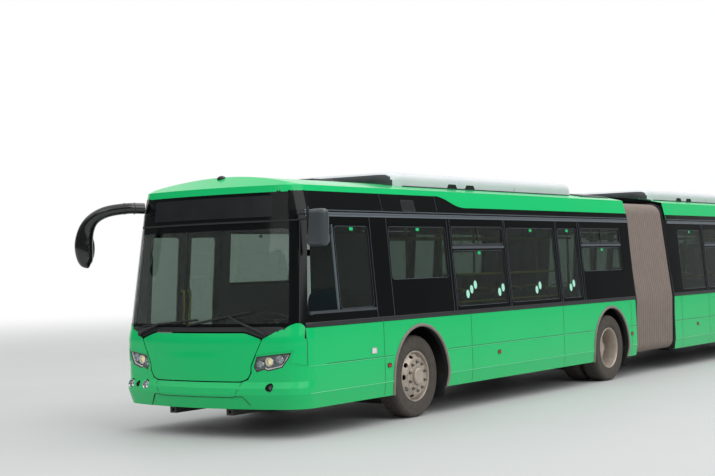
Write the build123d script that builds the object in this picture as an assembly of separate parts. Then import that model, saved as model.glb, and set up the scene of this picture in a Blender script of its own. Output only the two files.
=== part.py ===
from build123d import *
from math import sqrt
import os

os.makedirs("parts", exist_ok=True)

# An articulated city bus. Millimetres, nose towards -Y, the bus's own left towards +X, ground at Z 0.

# Length, measured back from the nose
FRONT_AXLE = 2630
WHEELBASE = 5220
JOINT_WHEELBASE = 6750
REAR_OVERHANG = 3400
FRONT_TAIL = 890
BELLOWS_LENGTH = 1510
MID_AXLE = FRONT_AXLE + WHEELBASE
REAR_AXLE = MID_AXLE + JOINT_WHEELBASE
LENGTH = REAR_AXLE + REAR_OVERHANG
NOSE = -LENGTH / 2
TAIL = LENGTH / 2
FRONT_END = NOSE + MID_AXLE + FRONT_TAIL
REAR_START = FRONT_END + BELLOWS_LENGTH
PIVOT_Y = FRONT_END + BELLOWS_LENGTH / 2
FRONT_AXLE_Y = NOSE + FRONT_AXLE
MID_AXLE_Y = NOSE + MID_AXLE
REAR_AXLE_Y = NOSE + REAR_AXLE

# Cross-section and heights
HALF_WIDTH = 1275
SKIRT_BOTTOM = 312
SKIRT_TUCK = 25
SKIRT_CREASE = 469
BUMPER_LIP = 535
BUMPER_TOP = 600
HOOD_TOP = 1110
BELT = 1153
GUTTER = 2390
GUTTER_LEAN = 108
ROOF_EDGE = 2663
ROOF_EDGE_LEAN = 175
CEILING = 2600
CROWN = 2800
WALL = 60
FLOOR_TOP = 360
RAISED_FLOOR_TOP = 1000
RAISED_FLOOR_START = NOSE + 15750

# Body levels: height, half width, nose set-back, tail set-back
LEVELS = [
    (SKIRT_BOTTOM, HALF_WIDTH - SKIRT_TUCK, 120, 60),
    (SKIRT_CREASE, HALF_WIDTH, 65, 0),
    (BUMPER_LIP, HALF_WIDTH, 65, 0),
    (BUMPER_TOP, HALF_WIDTH, 105, 0),
    (1045, HALF_WIDTH - 5, 95, 10),
    (BELT, HALF_WIDTH - 7, 130, 20),
    (GUTTER, HALF_WIDTH - GUTTER_LEAN, 300, 110),
    (ROOF_EDGE, HALF_WIDTH - ROOF_EDGE_LEAN, 330, 160),
]
CROWN_SETBACK = 320
NOSE_BOW = 3400
NOSE_CORNER = 300
TAIL_BOW = 9000
TAIL_CORNER = 180
CORNER_SEAM = NOSE + 440
# Slanted edge of the windscreen and the pillar behind it: distance from the nose, height
SCREEN_EDGE = [(390, BELT), (540, 2285)]
PILLAR = 75
TAIL_SEAM = TAIL - 300

# Side windows, measured back from the nose: start, end, sill; a start of 0 is the slanted pillar
SILL_LOW = 1230
SILL_HIGH = 1590
DRIVER_SILL = 1300
WINDOW_HEAD = 2250
FRONT_LEFT_WINDOWS = [
    (0, 1740, DRIVER_SILL),
    (2100, 3400, SILL_HIGH),
    (3490, 4810, SILL_LOW),
    (4870, 6270, SILL_LOW),
    (6340, 6970, SILL_LOW),
    (7060, 8420, SILL_HIGH),
]
FRONT_RIGHT_WINDOWS = [
    (2100, 3400, SILL_HIGH),
    (3490, 4810, SILL_LOW),
    (6340, 6970, SILL_LOW),
    (7060, 8420, SILL_HIGH),
]
REAR_LEFT_WINDOWS = [
    (10660, 11720, SILL_LOW),
    (11800, 13200, SILL_LOW),
    (13270, 14670, SILL_HIGH),
    (14740, 16140, SILL_HIGH),
    (16210, 17500, SILL_HIGH),
]
REAR_RIGHT_WINDOWS = [
    (10660, 11720, SILL_LOW),
    (13270, 14670, SILL_HIGH),
    (14740, 16140, SILL_HIGH),
    (16210, 17500, SILL_HIGH),
]
GLASS = 6
GLASS_INSET = 8
# The driver's sliding pane stands open: it covers the window from here back
DRIVER_SASH = 1040

# Doorways on the right side, measured back from the nose: name, start, end
DOORWAYS = [
    ("front_door", 660, 1940),
    ("middle_door", 4910, 6250),
    ("rear_door", 11830, 13170),
]
DOOR_HEAD = 2270
DOOR_GAP = 8
DOOR_MEETING_GAP = 40
DOOR_THICKNESS = 40
DOOR_INSET = 6
DOOR_FRAME = 70
DOOR_PANE_SILL = 700

# Wheels
TYRE_RADIUS = 478.5
TYRE_WIDTH = 275
RIM_RADIUS = 286
RIM_HALF = 108
TWIN_SPACING = 330
FRONT_WHEEL_X = 1055
TWIN_OUTER_X = 1100
FRONT_DISC_OFFSET = 140
HUB_FLANGE = 200
SPINDLE = 35
RUNNING = 0.05
ARCH_RADIUS = 585
HOUSING_HALF = 600
HOUSING_TOP = 1070
HOUSING_WALL = 15
FRONT_HOUSING_X = 540
TWIN_HOUSING_X = 575

# Steering
KINGPIN_X = 915
KINGPIN = 20
KNUCKLE_EAR = 45
FIST_HALF = 70
EAR_THICKNESS = 35
EAR_GAP = 6

# Turntable
PIVOT_PIN = 60
PIVOT_RING = 450
PIVOT_LOW = 215
PIVOT_PLATE = 40
PIVOT_GAP = 6
PLATFORM_RADIUS = 735
HOOP_HALF = 1150
HOOP_TOP = 2500
HOOP_BAR = 45
HOOP_DEPTH = 90

# Bellows
PLEATS = 18
PLEAT_DEPTH = 55
BELLOWS_SKIN = 6
BELLOWS_BOTTOM = 335
BELLOWS_TOP = 2640


def half_at(height):
    """Half width of the body at a height, between the body levels."""
    for (z0, w0, _, _), (z1, w1, _, _) in zip(LEVELS, LEVELS[1:]):
        if height <= z1:
            return w0 + (w1 - w0) * (height - z0) / (z1 - z0)
    return LEVELS[-1][1]


def block(x0, x1, y0, y1, z0, z1):
    """Box from its low and high corner on each axis."""
    return Pos((x0 + x1) / 2, (y0 + y1) / 2, (z0 + z1) / 2) * Box(x1 - x0, y1 - y0, z1 - z0)


def rod(x, y, z, radius, length, way="Z"):
    """Cylinder that starts at a point and runs along +X, +Y or +Z."""
    turn = {"X": Rot(0, 90, 0), "Y": Rot(-90, 0, 0), "Z": Rot(0, 0, 0)}[way]
    shape = Cylinder(radius, length, align=(Align.CENTER, Align.CENTER, Align.MIN))
    return Pos(x, y, z) * turn * shape


def plan(height, half, tip, base, bow, corner):
    """Outline at one height: bowed end with round corners at tip, square end at base."""
    way = 1 if base > tip else -1
    across = half - corner
    back = bow - sqrt((bow - corner) ** 2 - across ** 2)
    ux, uy = across / (bow - corner), (back - bow) / (bow - corner)
    bow_end = (ux * bow, tip + way * (bow + uy * bow))
    mx, my = ux + 1, uy
    reach = sqrt(mx * mx + my * my)
    corner_mid = (across + corner * mx / reach, tip + way * (back + corner * my / reach))
    side = (half, tip + way * back)

    def p(point, mirror=1):
        return (mirror * point[0], point[1], height)

    edges = [
        Edge.make_line((half, base, height), p(side)),
        Edge.make_three_point_arc(p(side), p(corner_mid), p(bow_end)),
        Edge.make_three_point_arc(p(bow_end), (0, tip, height), p(bow_end, -1)),
        Edge.make_three_point_arc(p(bow_end, -1), p(corner_mid, -1), p(side, -1)),
        Edge.make_line(p(side, -1), (-half, base, height)),
        Edge.make_line((-half, base, height), (half, base, height)),
    ]
    return Wire(edges)


def front_hull(inset=0, base=None):
    """Outer form of the front section, or the same form drawn in by an inset."""
    end = FRONT_END if base is None else base
    return Solid.make_loft(
        [
            plan(z, half - inset, NOSE + nose + inset, end, NOSE_BOW - inset, NOSE_CORNER - inset)
            for z, half, nose, _ in LEVELS
        ],
        ruled=True,
    )


def rear_hull(inset=0, base=None):
    """Outer form of the rear section, or the same form drawn in by an inset."""
    end = REAR_START if base is None else base
    return Solid.make_loft(
        [
            plan(z, half - inset, TAIL - tail - inset, end, TAIL_BOW - inset, TAIL_CORNER - inset)
            for z, half, _, tail in LEVELS
        ],
        ruled=True,
    )


def crown(tip, base, bow, corner):
    """Curved roof cap above the roof edge, sloped at its outer end."""
    half = LEVELS[-1][1]
    way = 1 if base > tip else -1
    low = plan(ROOF_EDGE, half, tip, base, bow, corner)
    high = plan(CROWN, half, tip + way * CROWN_SETBACK, base, bow, corner)
    body = Solid.make_loft([low, high], ruled=True)
    arch = Wire([
        Edge.make_three_point_arc((-half, tip, ROOF_EDGE), (0, tip, CROWN), (half, tip, ROOF_EDGE)),
        Edge.make_line((half, tip, ROOF_EDGE), (-half, tip, ROOF_EDGE)),
    ])
    span = Solid.extrude(Face(arch), (0, base - tip, 0))
    return span & body


def write(name, *shapes):
    """One node from one or more solids."""
    shape = shapes[0] if len(shapes) == 1 else Compound(children=[s for s in shapes])
    export_step(shape, f"parts/{name}.step")


def solids(shape):
    return list(shape.solids())


# Reach of cutting blocks past the bus, and of outlines drawn from ahead of the nose
BIG = 20000
AHEAD = 300
front_outer = front_hull()
front_inner = front_hull(WALL, FRONT_END + 10) & block(-BIG, BIG, -BIG, BIG, 0, CEILING)
front_shell = front_outer - front_inner
rear_outer = rear_hull()
rear_inner = rear_hull(WALL, REAR_START - 10) & block(-BIG, BIG, -BIG, BIG, 0, CEILING)
rear_shell = rear_outer - rear_inner


def cut_all(shape, tools):
    for tool in tools:
        shape = shape - tool
    return shape


def side_prism(points, x0, x1):
    """Outline of (distance from the nose, height) points drawn along +X."""
    face = Face(Wire.make_polygon([(x0, NOSE + s, z) for s, z in points]))
    return extrude(face, amount=x1 - x0, dir=(1, 0, 0))


def ahead_prism(points):
    """Outline of (x, height) points seen from ahead, drawn back through the nose."""
    face = Face(Wire.make_polygon([(x, NOSE - AHEAD, z) for x, z in points]))
    return extrude(face, amount=3 * AHEAD, dir=(0, 1, 0))


def strip(start, end, half):
    """Corners of a straight bar of a half width, seen from ahead."""
    dx, dz = end[0] - start[0], end[1] - start[1]
    reach = sqrt(dx * dx + dz * dz)
    ux, uz = -dz / reach * half, dx / reach * half
    return [(start[0] + ux, start[1] + uz), (end[0] + ux, end[1] + uz),
            (end[0] - ux, end[1] - uz), (start[0] - ux, start[1] - uz)]


def screen_edge_at(height):
    """Distance of the windscreen's edge from the nose at a height."""
    (s0, z0), (s1, z1) = SCREEN_EDGE
    return s0 + (s1 - s0) * (height - z0) / (z1 - z0)


def window_box(start, end, sill, side):
    """Prism of one side window; the foremost one slants with the pillar."""
    x0, x1 = (900, 1400) if side > 0 else (-1400, -900)
    low, high = start, start
    if start == 0:
        low, high = screen_edge_at(sill) + PILLAR, screen_edge_at(WINDOW_HEAD) + PILLAR
    return side_prism([(low, sill), (end, sill), (end, WINDOW_HEAD), (high, WINDOW_HEAD)], x0, x1)


def door_box(start, end):
    return block(-1400, -900, NOSE + start, NOSE + end, FLOOR_TOP, DOOR_HEAD)


def arch_cut(y, side):
    start = 900 if side > 0 else -1400
    return rod(start, y, TYRE_RADIUS, ARCH_RADIUS, 500, "X")


# Walls
front_doors = [door_box(s, e) for n, s, e in DOORWAYS if NOSE + e < FRONT_END]
rear_doors = [door_box(s, e) for n, s, e in DOORWAYS if NOSE + s > REAR_START]
front_arches = {side: [arch_cut(FRONT_AXLE_Y, side), arch_cut(MID_AXLE_Y, side)] for side in (1, -1)}

screen_hole = side_prism([(-BIG, BELT), SCREEN_EDGE[0], SCREEN_EDGE[1], (-BIG, SCREEN_EDGE[1][1])], -BIG, BIG)

SIGN_HALF = 1020
SIGN_LOW = SCREEN_EDGE[1][1]
SIGN_HIGH = 2590
SIGN_BACK = NOSE + 620
sign_box = block(-SIGN_HALF, SIGN_HALF, -BIG, SIGN_BACK, SIGN_LOW, SIGN_HIGH)

front_left_wall = cut_all(
    front_shell & block(0, BIG, CORNER_SEAM, BIG, 0, GUTTER),
    [window_box(s, e, z, 1) for s, e, z in FRONT_LEFT_WINDOWS] + front_arches[1]
    + [screen_hole, sign_box],
)
front_right_wall = cut_all(
    front_shell & block(-BIG, 0, CORNER_SEAM, BIG, 0, GUTTER),
    [window_box(s, e, z, -1) for s, e, z in FRONT_RIGHT_WINDOWS] + front_arches[-1] + front_doors
    + [screen_hole, sign_box],
)
rear_left_wall = cut_all(
    rear_shell & block(0, BIG, -BIG, TAIL_SEAM, 0, GUTTER),
    [window_box(s, e, z, 1) for s, e, z in REAR_LEFT_WINDOWS] + [arch_cut(REAR_AXLE_Y, 1)],
)
rear_right_wall = cut_all(
    rear_shell & block(-BIG, 0, -BIG, TAIL_SEAM, 0, GUTTER),
    [window_box(s, e, z, -1) for s, e, z in REAR_RIGHT_WINDOWS] + [arch_cut(REAR_AXLE_Y, -1)]
    + rear_doors,
)
write("front_left_wall", front_left_wall)
write("front_right_wall", front_right_wall)
write("rear_left_wall", rear_left_wall)
write("rear_right_wall", rear_right_wall)

# Roofs
front_roof = front_shell & block(-BIG, BIG, -BIG, BIG, GUTTER, BIG)
front_roof = front_roof + (front_shell & block(-BIG, BIG, -BIG, CORNER_SEAM, SIGN_LOW, GUTTER)) - sign_box
front_roof = front_roof + crown(NOSE + LEVELS[-1][2], FRONT_END, NOSE_BOW, NOSE_CORNER)
rear_roof = rear_shell & block(-BIG, BIG, -BIG, BIG, GUTTER, BIG)
rear_roof = rear_roof + crown(TAIL - LEVELS[-1][3], REAR_START, TAIL_BOW, TAIL_CORNER)
write("front_roof", front_roof)
write("rear_roof", rear_roof)

# Nose: mask, bumper, service flap, windscreen and blank sign glass
HOOD_GAP = 12
HOOD_SKIN = 6
SCREEN_INSET = 4
SCREEN_GLASS = 8
# Service flap seen from ahead, right half: x, z
HOOD_OUTLINE = [(580, BUMPER_TOP + 5), (660, 632), (700, 700), (700, 765), (745, 860), (838, 1043),
                (635, HOOD_TOP)]


def hood_face(grow):
    """Outline of the service flap seen from ahead, grown all round by a gap."""
    loop = HOOD_OUTLINE + [(-x, z) for x, z in reversed(HOOD_OUTLINE)]
    wire = Wire.make_polygon([(x, NOSE - AHEAD, z) for x, z in loop])
    if grow:
        wire = wire.offset_2d(grow, kind=Kind.INTERSECTION)
    return Face(wire)


# Headlamps seen from ahead: x, z
LAMP_OUTLINE = [(775, 865), (1143, 905), (1115, 836), (1053, 750), (893, 712), (855, 730), (770, 700),
                (738, 757)]
LAMP_DEPTH = 50
FOG_RECESS = 15
# Fog lamps: x, z, radius
FOG_LAMPS = [(-1070, 546, 50), (-930, 546, 32), (-780, 546, 50), (922, 546, 42)]


# Lower insert of the bumper, set back from its skin: right half of its upper edge, x, z
INSERT_EDGE = [(740, 300), (700, 350), (620, 449), (520, 449), (505, 440)]
INSERT_DEPTH = 8

hood_hole = extrude(hood_face(HOOD_GAP), amount=3 * AHEAD, dir=(0, 1, 0))
lamp_prisms = [ahead_prism([(side * x, z) for x, z in LAMP_OUTLINE]) for side in (1, -1)]
fog_rods = [rod(x, NOSE - AHEAD, z, r, 2 * AHEAD, "Y") for x, z, r in FOG_LAMPS]
insert = (front_outer - front_hull(INSERT_DEPTH)) & ahead_prism(
    INSERT_EDGE + [(-x, z) for x, z in reversed(INSERT_EDGE)])
mask = front_shell & block(-BIG, BIG, -BIG, CORNER_SEAM, BUMPER_TOP, SIGN_LOW)
mask = cut_all(mask, [hood_hole, screen_hole] + lamp_prisms)
bumper = front_shell & block(-BIG, BIG, -BIG, CORNER_SEAM, 0, BUMPER_TOP)
bumper = cut_all(bumper, [hood_hole, insert] + fog_rods)
write("front_mask", mask)
write("front_bumper", bumper)

hood = (front_outer - front_hull(HOOD_SKIN)) & extrude(hood_face(0), amount=3 * AHEAD, dir=(0, 1, 0))
write("service_flap", hood)

windscreen = (front_hull(SCREEN_INSET) - front_hull(SCREEN_INSET + SCREEN_GLASS)) & screen_hole
write("windscreen", windscreen)
sign_glass = (front_hull(SCREEN_INSET) - front_hull(SCREEN_INSET + SCREEN_GLASS)) & sign_box
write("sign_glass", sign_glass)

lamp_lens = front_outer - front_hull(LAMP_DEPTH)
headlamps = [solid for prism in lamp_prisms for solid in solids(lamp_lens & prism)]
fog_lens = front_hull(FOG_RECESS) - front_hull(LAMP_DEPTH)
for fog_rod in fog_rods:
    headlamps += solids(fog_lens & fog_rod)
write("headlamps", *headlamps)

# Side glass
front_pane = front_hull(GLASS_INSET) - front_hull(GLASS_INSET + GLASS)
rear_pane = rear_hull(GLASS_INSET) - rear_hull(GLASS_INSET + GLASS)
FRONT_LEFT_PANES = [(DRIVER_SASH, *FRONT_LEFT_WINDOWS[0][1:])] + FRONT_LEFT_WINDOWS[1:]
write("front_side_glass", *[
    solid
    for side, rows in ((1, FRONT_LEFT_PANES), (-1, FRONT_RIGHT_WINDOWS))
    for s, e, z in rows
    for solid in solids(front_pane & window_box(s, e, z, side))
])
REAR_WINDOW_HALF = 900
REAR_WINDOW_LOW = 1500
rear_window_box = block(-REAR_WINDOW_HALF, REAR_WINDOW_HALF, TAIL_SEAM, BIG, REAR_WINDOW_LOW, WINDOW_HEAD)
write("rear_glass", *[
    solid
    for side, rows in ((1, REAR_LEFT_WINDOWS), (-1, REAR_RIGHT_WINDOWS))
    for s, e, z in rows
    for solid in solids(rear_pane & window_box(s, e, z, side))
], *solids(rear_pane & rear_window_box))

# Tail: end wall, engine hatch, lamps
HATCH_LOW = 560
HATCH_TOP = 1330
HATCH_HALF = 880
HATCH_GAP = 10
HATCH_SKIN = 25
LOUVRES = 9
LOUVRE_LOW = 700
LOUVRE_PITCH = 40
LOUVRE_HEIGHT = 18
LOUVRE_HALF = 620
LOUVRE_DEPTH = 12
TAIL_LAMP_X = 1035
TAIL_LAMP_RADIUS = 62
TAIL_LAMPS = [700, 860, 1020, 1180]
hatch_hole = block(-HATCH_HALF - HATCH_GAP, HATCH_HALF + HATCH_GAP, TAIL_SEAM, BIG,
                   HATCH_LOW - HATCH_GAP, HATCH_TOP + HATCH_GAP)
lamp_rods = [rod(side * TAIL_LAMP_X, TAIL - 200, z, TAIL_LAMP_RADIUS, 400, "Y")
             for side in (1, -1) for z in TAIL_LAMPS]
end_wall = rear_shell & block(-BIG, BIG, TAIL_SEAM, BIG, 0, GUTTER)
end_wall = cut_all(end_wall, [hatch_hole, rear_window_box] + lamp_rods)
write("end_wall", end_wall)
hatch = (rear_outer - rear_hull(HATCH_SKIN)) & block(
    -HATCH_HALF, HATCH_HALF, TAIL_SEAM, BIG, HATCH_LOW, HATCH_TOP)
louvre_skin = rear_outer - rear_hull(LOUVRE_DEPTH)
for i in range(LOUVRES):
    low = LOUVRE_LOW + i * LOUVRE_PITCH
    hatch = hatch - (louvre_skin & block(-LOUVRE_HALF, LOUVRE_HALF, TAIL_SEAM, BIG, low, low + LOUVRE_HEIGHT))
write("engine_hatch", hatch)
tail_lens = rear_outer - rear_hull(LAMP_DEPTH)
write("tail_lamps", *[s for lamp in lamp_rods for s in solids(tail_lens & lamp)])


# Floors, wheel housings and chassis
BEAM_X = 400
BEAM_HALF = 45
BEAM_BOTTOM = 240
BEAM_END = 180
CROSS_HALF = 30
CROSS_LOW = 256
PAD_HALF = 60
PAD_DROP = 15
TOW_HOLE = 18
TOW_DEPTH = 130
TOW_GAP = 2
TOW_Z = (BEAM_BOTTOM + SKIRT_BOTTOM) / 2
JOINT_ARM = 320
# Chassis places from the nose: cross members, jacking pads
FRONT_CROSS = [900, 1700, 3500, 4700, 6000, 6900]
FRONT_PAD = 3800
REAR_CROSS = [11200, 12600, 13800, 15500, 16800]
REAR_PAD = 15800


def housing(y, side, inner_x, inner):
    """Box over a wheel, open to the arch and to the ground."""
    outer_x = half_at(SKIRT_CREASE) - WALL
    lo, hi = sorted((side * inner_x, side * outer_x))
    shell = block(lo, hi, y - HOUSING_HALF - HOUSING_WALL, y + HOUSING_HALF + HOUSING_WALL,
                  SKIRT_BOTTOM, HOUSING_TOP + HOUSING_WALL)
    lo, hi = sorted((side * (inner_x + HOUSING_WALL), side * (outer_x + 200)))
    hollow = block(lo, hi, y - HOUSING_HALF, y + HOUSING_HALF, 0, HOUSING_TOP)
    return (shell & inner) - hollow


def floor_slab(inner, axles):
    """Floor between the walls, cut out round the wheel housings."""
    slab = inner & block(-BIG, BIG, -BIG, BIG, SKIRT_BOTTOM, FLOOR_TOP)
    reach = HOUSING_HALF + HOUSING_WALL
    for y, inner_x in axles:
        for side in (1, -1):
            lo, hi = sorted((side * inner_x, side * BIG))
            slab = slab - block(lo, hi, y - reach, y + reach, 0, BIG)
    return slab


def chassis(start, end, tow_end, crossings, pad):
    """Two long beams with cross members and jacking pads, and a bored towing block beyond each beam."""
    way = 1 if tow_end < start else -1
    frame = block(-BEAM_X, BEAM_X, NOSE + crossings[0] - CROSS_HALF, NOSE + crossings[0] + CROSS_HALF,
                  CROSS_LOW, SKIRT_BOTTOM)
    for s in crossings[1:]:
        frame = frame + block(-BEAM_X, BEAM_X, NOSE + s - CROSS_HALF, NOSE + s + CROSS_HALF,
                              CROSS_LOW, SKIRT_BOTTOM)
    blocks = []
    for side in (1, -1):
        lo, hi = side * BEAM_X - BEAM_HALF, side * BEAM_X + BEAM_HALF
        frame = frame + block(lo, hi, start, end, BEAM_BOTTOM, SKIRT_BOTTOM)
        frame = frame + block(lo, hi, NOSE + pad - PAD_HALF, NOSE + pad + PAD_HALF,
                              BEAM_BOTTOM - PAD_DROP, BEAM_BOTTOM)
        y0, y1 = sorted((tow_end, tow_end + way * TOW_DEPTH))
        tow_block = block(lo, hi, y0, y1, BEAM_BOTTOM, SKIRT_BOTTOM)
        blocks.append(tow_block - rod(side * BEAM_X, y0, TOW_Z, TOW_HOLE, TOW_DEPTH, "Y"))
    return [frame] + blocks


front_inner_form = front_hull(WALL, FRONT_END)
rear_inner_form = rear_hull(WALL, REAR_START)
front_axles = [(FRONT_AXLE_Y, FRONT_HOUSING_X), (MID_AXLE_Y, TWIN_HOUSING_X)]
rear_axles = [(REAR_AXLE_Y, TWIN_HOUSING_X)]
write("front_floor", floor_slab(front_inner_form, front_axles))
write("front_wheel_housings", *[
    solid
    for y, x in front_axles
    for side in (1, -1)
    for solid in solids(housing(y, side, x, front_inner_form))
])
write("front_chassis", *chassis(NOSE + BEAM_END + TOW_DEPTH + TOW_GAP, FRONT_END - JOINT_ARM, NOSE + BEAM_END,
                                FRONT_CROSS, FRONT_PAD))

RAISED_SLAB = 50
raised = rear_inner_form & block(-BIG, BIG, RAISED_FLOOR_START, BIG, FLOOR_TOP, RAISED_FLOOR_TOP)
under_raised = block(-BIG, BIG, RAISED_FLOOR_START + RAISED_SLAB, BIG, FLOOR_TOP, RAISED_FLOOR_TOP - RAISED_SLAB)
write("rear_floor", floor_slab(rear_inner_form, rear_axles) + (raised - under_raised))
write("rear_wheel_housings", *[
    solid
    for y, x in rear_axles
    for side in (1, -1)
    for solid in solids(housing(y, side, x, rear_inner_form))
])
write("rear_chassis", *chassis(REAR_START + JOINT_ARM, TAIL - BEAM_END - TOW_DEPTH - TOW_GAP, TAIL - BEAM_END,
                               REAR_CROSS, REAR_PAD))

# Engine on the floor at the tail: sump, block, rocker cover, gearbox ahead of it and the radiator at its side
ENGINE_START = NOSE + 16350
ENGINE_END = NOSE + 17350
ENGINE_HALF = 330
SUMP_HALF = 230
SUMP_TOP = 430
ENGINE_TOP = 800
COVER_HALF = 170
COVER_TOP = 900
COVER_INSET = 60
GEARBOX_RADIUS = 200
GEARBOX_LENGTH = 450
RADIATOR_X = (-560, -400)
RADIATOR_INSET = 120
engine = block(-SUMP_HALF, SUMP_HALF, ENGINE_START, ENGINE_END, FLOOR_TOP, SUMP_TOP)
engine = engine + block(-ENGINE_HALF, ENGINE_HALF, ENGINE_START, ENGINE_END, SUMP_TOP, ENGINE_TOP)
engine = engine + block(-COVER_HALF, COVER_HALF, ENGINE_START + COVER_INSET, ENGINE_END - COVER_INSET,
                        ENGINE_TOP, COVER_TOP)
engine = engine + rod(0, ENGINE_START - GEARBOX_LENGTH, (SUMP_TOP + ENGINE_TOP) / 2, GEARBOX_RADIUS,
                      GEARBOX_LENGTH, "Y")
radiator = block(*RADIATOR_X, ENGINE_START + RADIATOR_INSET, ENGINE_END - RADIATOR_INSET, FLOOR_TOP, COVER_TOP)
write("engine", *solids(engine), radiator)

# Axles
AXLE_BEAM_LOW = 150
AXLE_BEAM_HIGH = 205
AXLE_BEAM_HALF = 55
AIR_SPRING = 95
WHEEL_Z = TYRE_RADIUS
TWIN_ARM = 35
TWIN_INNER_X = TWIN_OUTER_X - TWIN_SPACING
TWIN_FACE_X = (TWIN_OUTER_X + TWIN_INNER_X) / 2
KNUCKLE_PLATE_X = KINGPIN_X + KNUCKLE_EAR + EAR_GAP
KNUCKLE_PLATE = 28


def steered_axle(y):
    """Dropped beam whose raised ends carry the kingpin bosses."""
    reach = KINGPIN_X - 55
    axle = block(-reach, reach, y - AXLE_BEAM_HALF, y + AXLE_BEAM_HALF, AXLE_BEAM_LOW, AXLE_BEAM_HIGH)
    for side in (1, -1):
        lo, hi = sorted((side * (reach - 60), side * reach))
        axle = axle + block(lo, hi, y - AXLE_BEAM_HALF, y + AXLE_BEAM_HALF,
                            AXLE_BEAM_LOW, WHEEL_Z + FIST_HALF)
        lo, hi = sorted((side * reach, side * KINGPIN_X))
        axle = axle + block(lo, hi, y - 35, y + 35, WHEEL_Z - FIST_HALF, WHEEL_Z + FIST_HALF)
        x = side * KINGPIN_X
        axle = axle + rod(x, y, WHEEL_Z - FIST_HALF, KNUCKLE_EAR, 2 * FIST_HALF)
        axle = axle - rod(x, y, 0, KINGPIN + RUNNING, 1000)
        axle = axle + rod(side * BEAM_X, y, AXLE_BEAM_HIGH, AIR_SPRING, BEAM_BOTTOM - AXLE_BEAM_HIGH)
    return axle


def twin_axle(y, differential):
    """Low beam whose end arms rise beside the twin wheels to their spindles."""
    arm_x = TWIN_HOUSING_X + HOUSING_WALL + 2
    reach = arm_x + TWIN_ARM
    axle = block(-reach, reach, y - AXLE_BEAM_HALF, y + AXLE_BEAM_HALF, AXLE_BEAM_LOW, AXLE_BEAM_HIGH)
    for side in (1, -1):
        lo, hi = sorted((side * arm_x, side * reach))
        axle = axle + block(lo, hi, y - 90, y + 90, AXLE_BEAM_LOW, WHEEL_Z + 90)
        start = min(side * arm_x, side * (TWIN_FACE_X + 60))
        axle = axle + rod(start, y, WHEEL_Z, SPINDLE, TWIN_FACE_X + 60 - arm_x, "X")
        axle = axle + rod(side * BEAM_X, y, AXLE_BEAM_HIGH, AIR_SPRING, BEAM_BOTTOM - AXLE_BEAM_HIGH)
    if differential:
        axle = axle + rod(-130, y, AXLE_BEAM_HIGH - 10, 95, 260, "X")
    return axle


write("front_axle", steered_axle(FRONT_AXLE_Y))
write("middle_axle", twin_axle(MID_AXLE_Y, False))
write("rear_axle", twin_axle(REAR_AXLE_Y, True))


def knuckle(side):
    """Fork round the axle's boss, its kingpin and the wheel's spindle."""
    y = FRONT_AXLE_Y
    x = side * KINGPIN_X
    plate_x = KNUCKLE_PLATE_X
    ear_z = WHEEL_Z + FIST_HALF + EAR_GAP
    height = 2 * (FIST_HALF + EAR_GAP + EAR_THICKNESS)
    low = WHEEL_Z - height / 2
    lo, hi = sorted((side * plate_x, side * (plate_x + KNUCKLE_PLATE)))
    shape = block(lo, hi, y - KNUCKLE_EAR, y + KNUCKLE_EAR, low, low + height)
    for z in (low, ear_z):
        shape = shape + rod(x, y, z, KNUCKLE_EAR, EAR_THICKNESS)
        lo, hi = sorted((x, side * (plate_x + 1)))
        shape = shape + block(lo, hi, y - KNUCKLE_EAR, y + KNUCKLE_EAR, z, z + EAR_THICKNESS)
    shape = shape + rod(x, y, low, KINGPIN, height)
    start = min(side * plate_x, side * (FRONT_WHEEL_X + FRONT_DISC_OFFSET))
    return shape + rod(start, y, WHEEL_Z, SPINDLE, FRONT_WHEEL_X + FRONT_DISC_OFFSET - plate_x, "X")


write("left_knuckle", knuckle(1))
write("right_knuckle", knuckle(-1))

# Tyre section: distance across from the middle, radius
TYRE_SECTION = [(100, 286), (130, 330), (TYRE_WIDTH / 2, 400), (126, 455), (98, TYRE_RADIUS)]


def ring(points, x, y):
    """Closed section of (across, radius) points turned about the wheel's axle."""
    outline = Wire.make_polygon([(px, pr, 0) for px, pr in points])
    body = revolve(Face(outline), axis=Axis.X, revolution_arc=360)
    return Pos(x, y, WHEEL_Z) * body


def tyre(x, y):
    points = TYRE_SECTION + [(-px, pr) for px, pr in reversed(TYRE_SECTION)]
    return ring(points, x, y)


HUB = 110
RIM_SKIN = 14
DISC_SKIN = 12
FLANGE_RADIUS = 296


def rim(x, y, side, disc, hub_end):
    """Barrel between the tyre's beads, a dished disc at its offset, and the bored hub."""
    d = side
    barrel = ring([
        (-RIM_HALF, RIM_RADIUS - RIM_SKIN), (-RIM_HALF - 12, FLANGE_RADIUS - RIM_SKIN),
        (-RIM_HALF - 12, FLANGE_RADIUS), (-RIM_HALF, FLANGE_RADIUS), (-RIM_HALF, RIM_RADIUS),
        (RIM_HALF, RIM_RADIUS), (RIM_HALF, FLANGE_RADIUS), (RIM_HALF + 12, FLANGE_RADIUS),
        (RIM_HALF + 12, FLANGE_RADIUS - RIM_SKIN), (RIM_HALF, RIM_RADIUS - RIM_SKIN),
    ], x, y)
    way = 1 if disc > 0 else -1
    start = way * (RIM_HALF - 40)
    dish = ring([
        (d * start, RIM_RADIUS - RIM_SKIN + 4), (d * (disc - way * DISC_SKIN), HUB_FLANGE),
        (d * (disc - way * DISC_SKIN), SPINDLE + RUNNING), (d * disc, SPINDLE + RUNNING),
        (d * disc, HUB_FLANGE), (d * (start + way * DISC_SKIN * 1.4), RIM_RADIUS - RIM_SKIN + 4),
    ], x, y)
    near, far = sorted((disc, hub_end))
    hub = ring([
        (d * near, SPINDLE + RUNNING), (d * near, HUB), (d * far, HUB), (d * far, SPINDLE + RUNNING),
    ], x, y)
    return barrel + dish + hub


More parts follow.
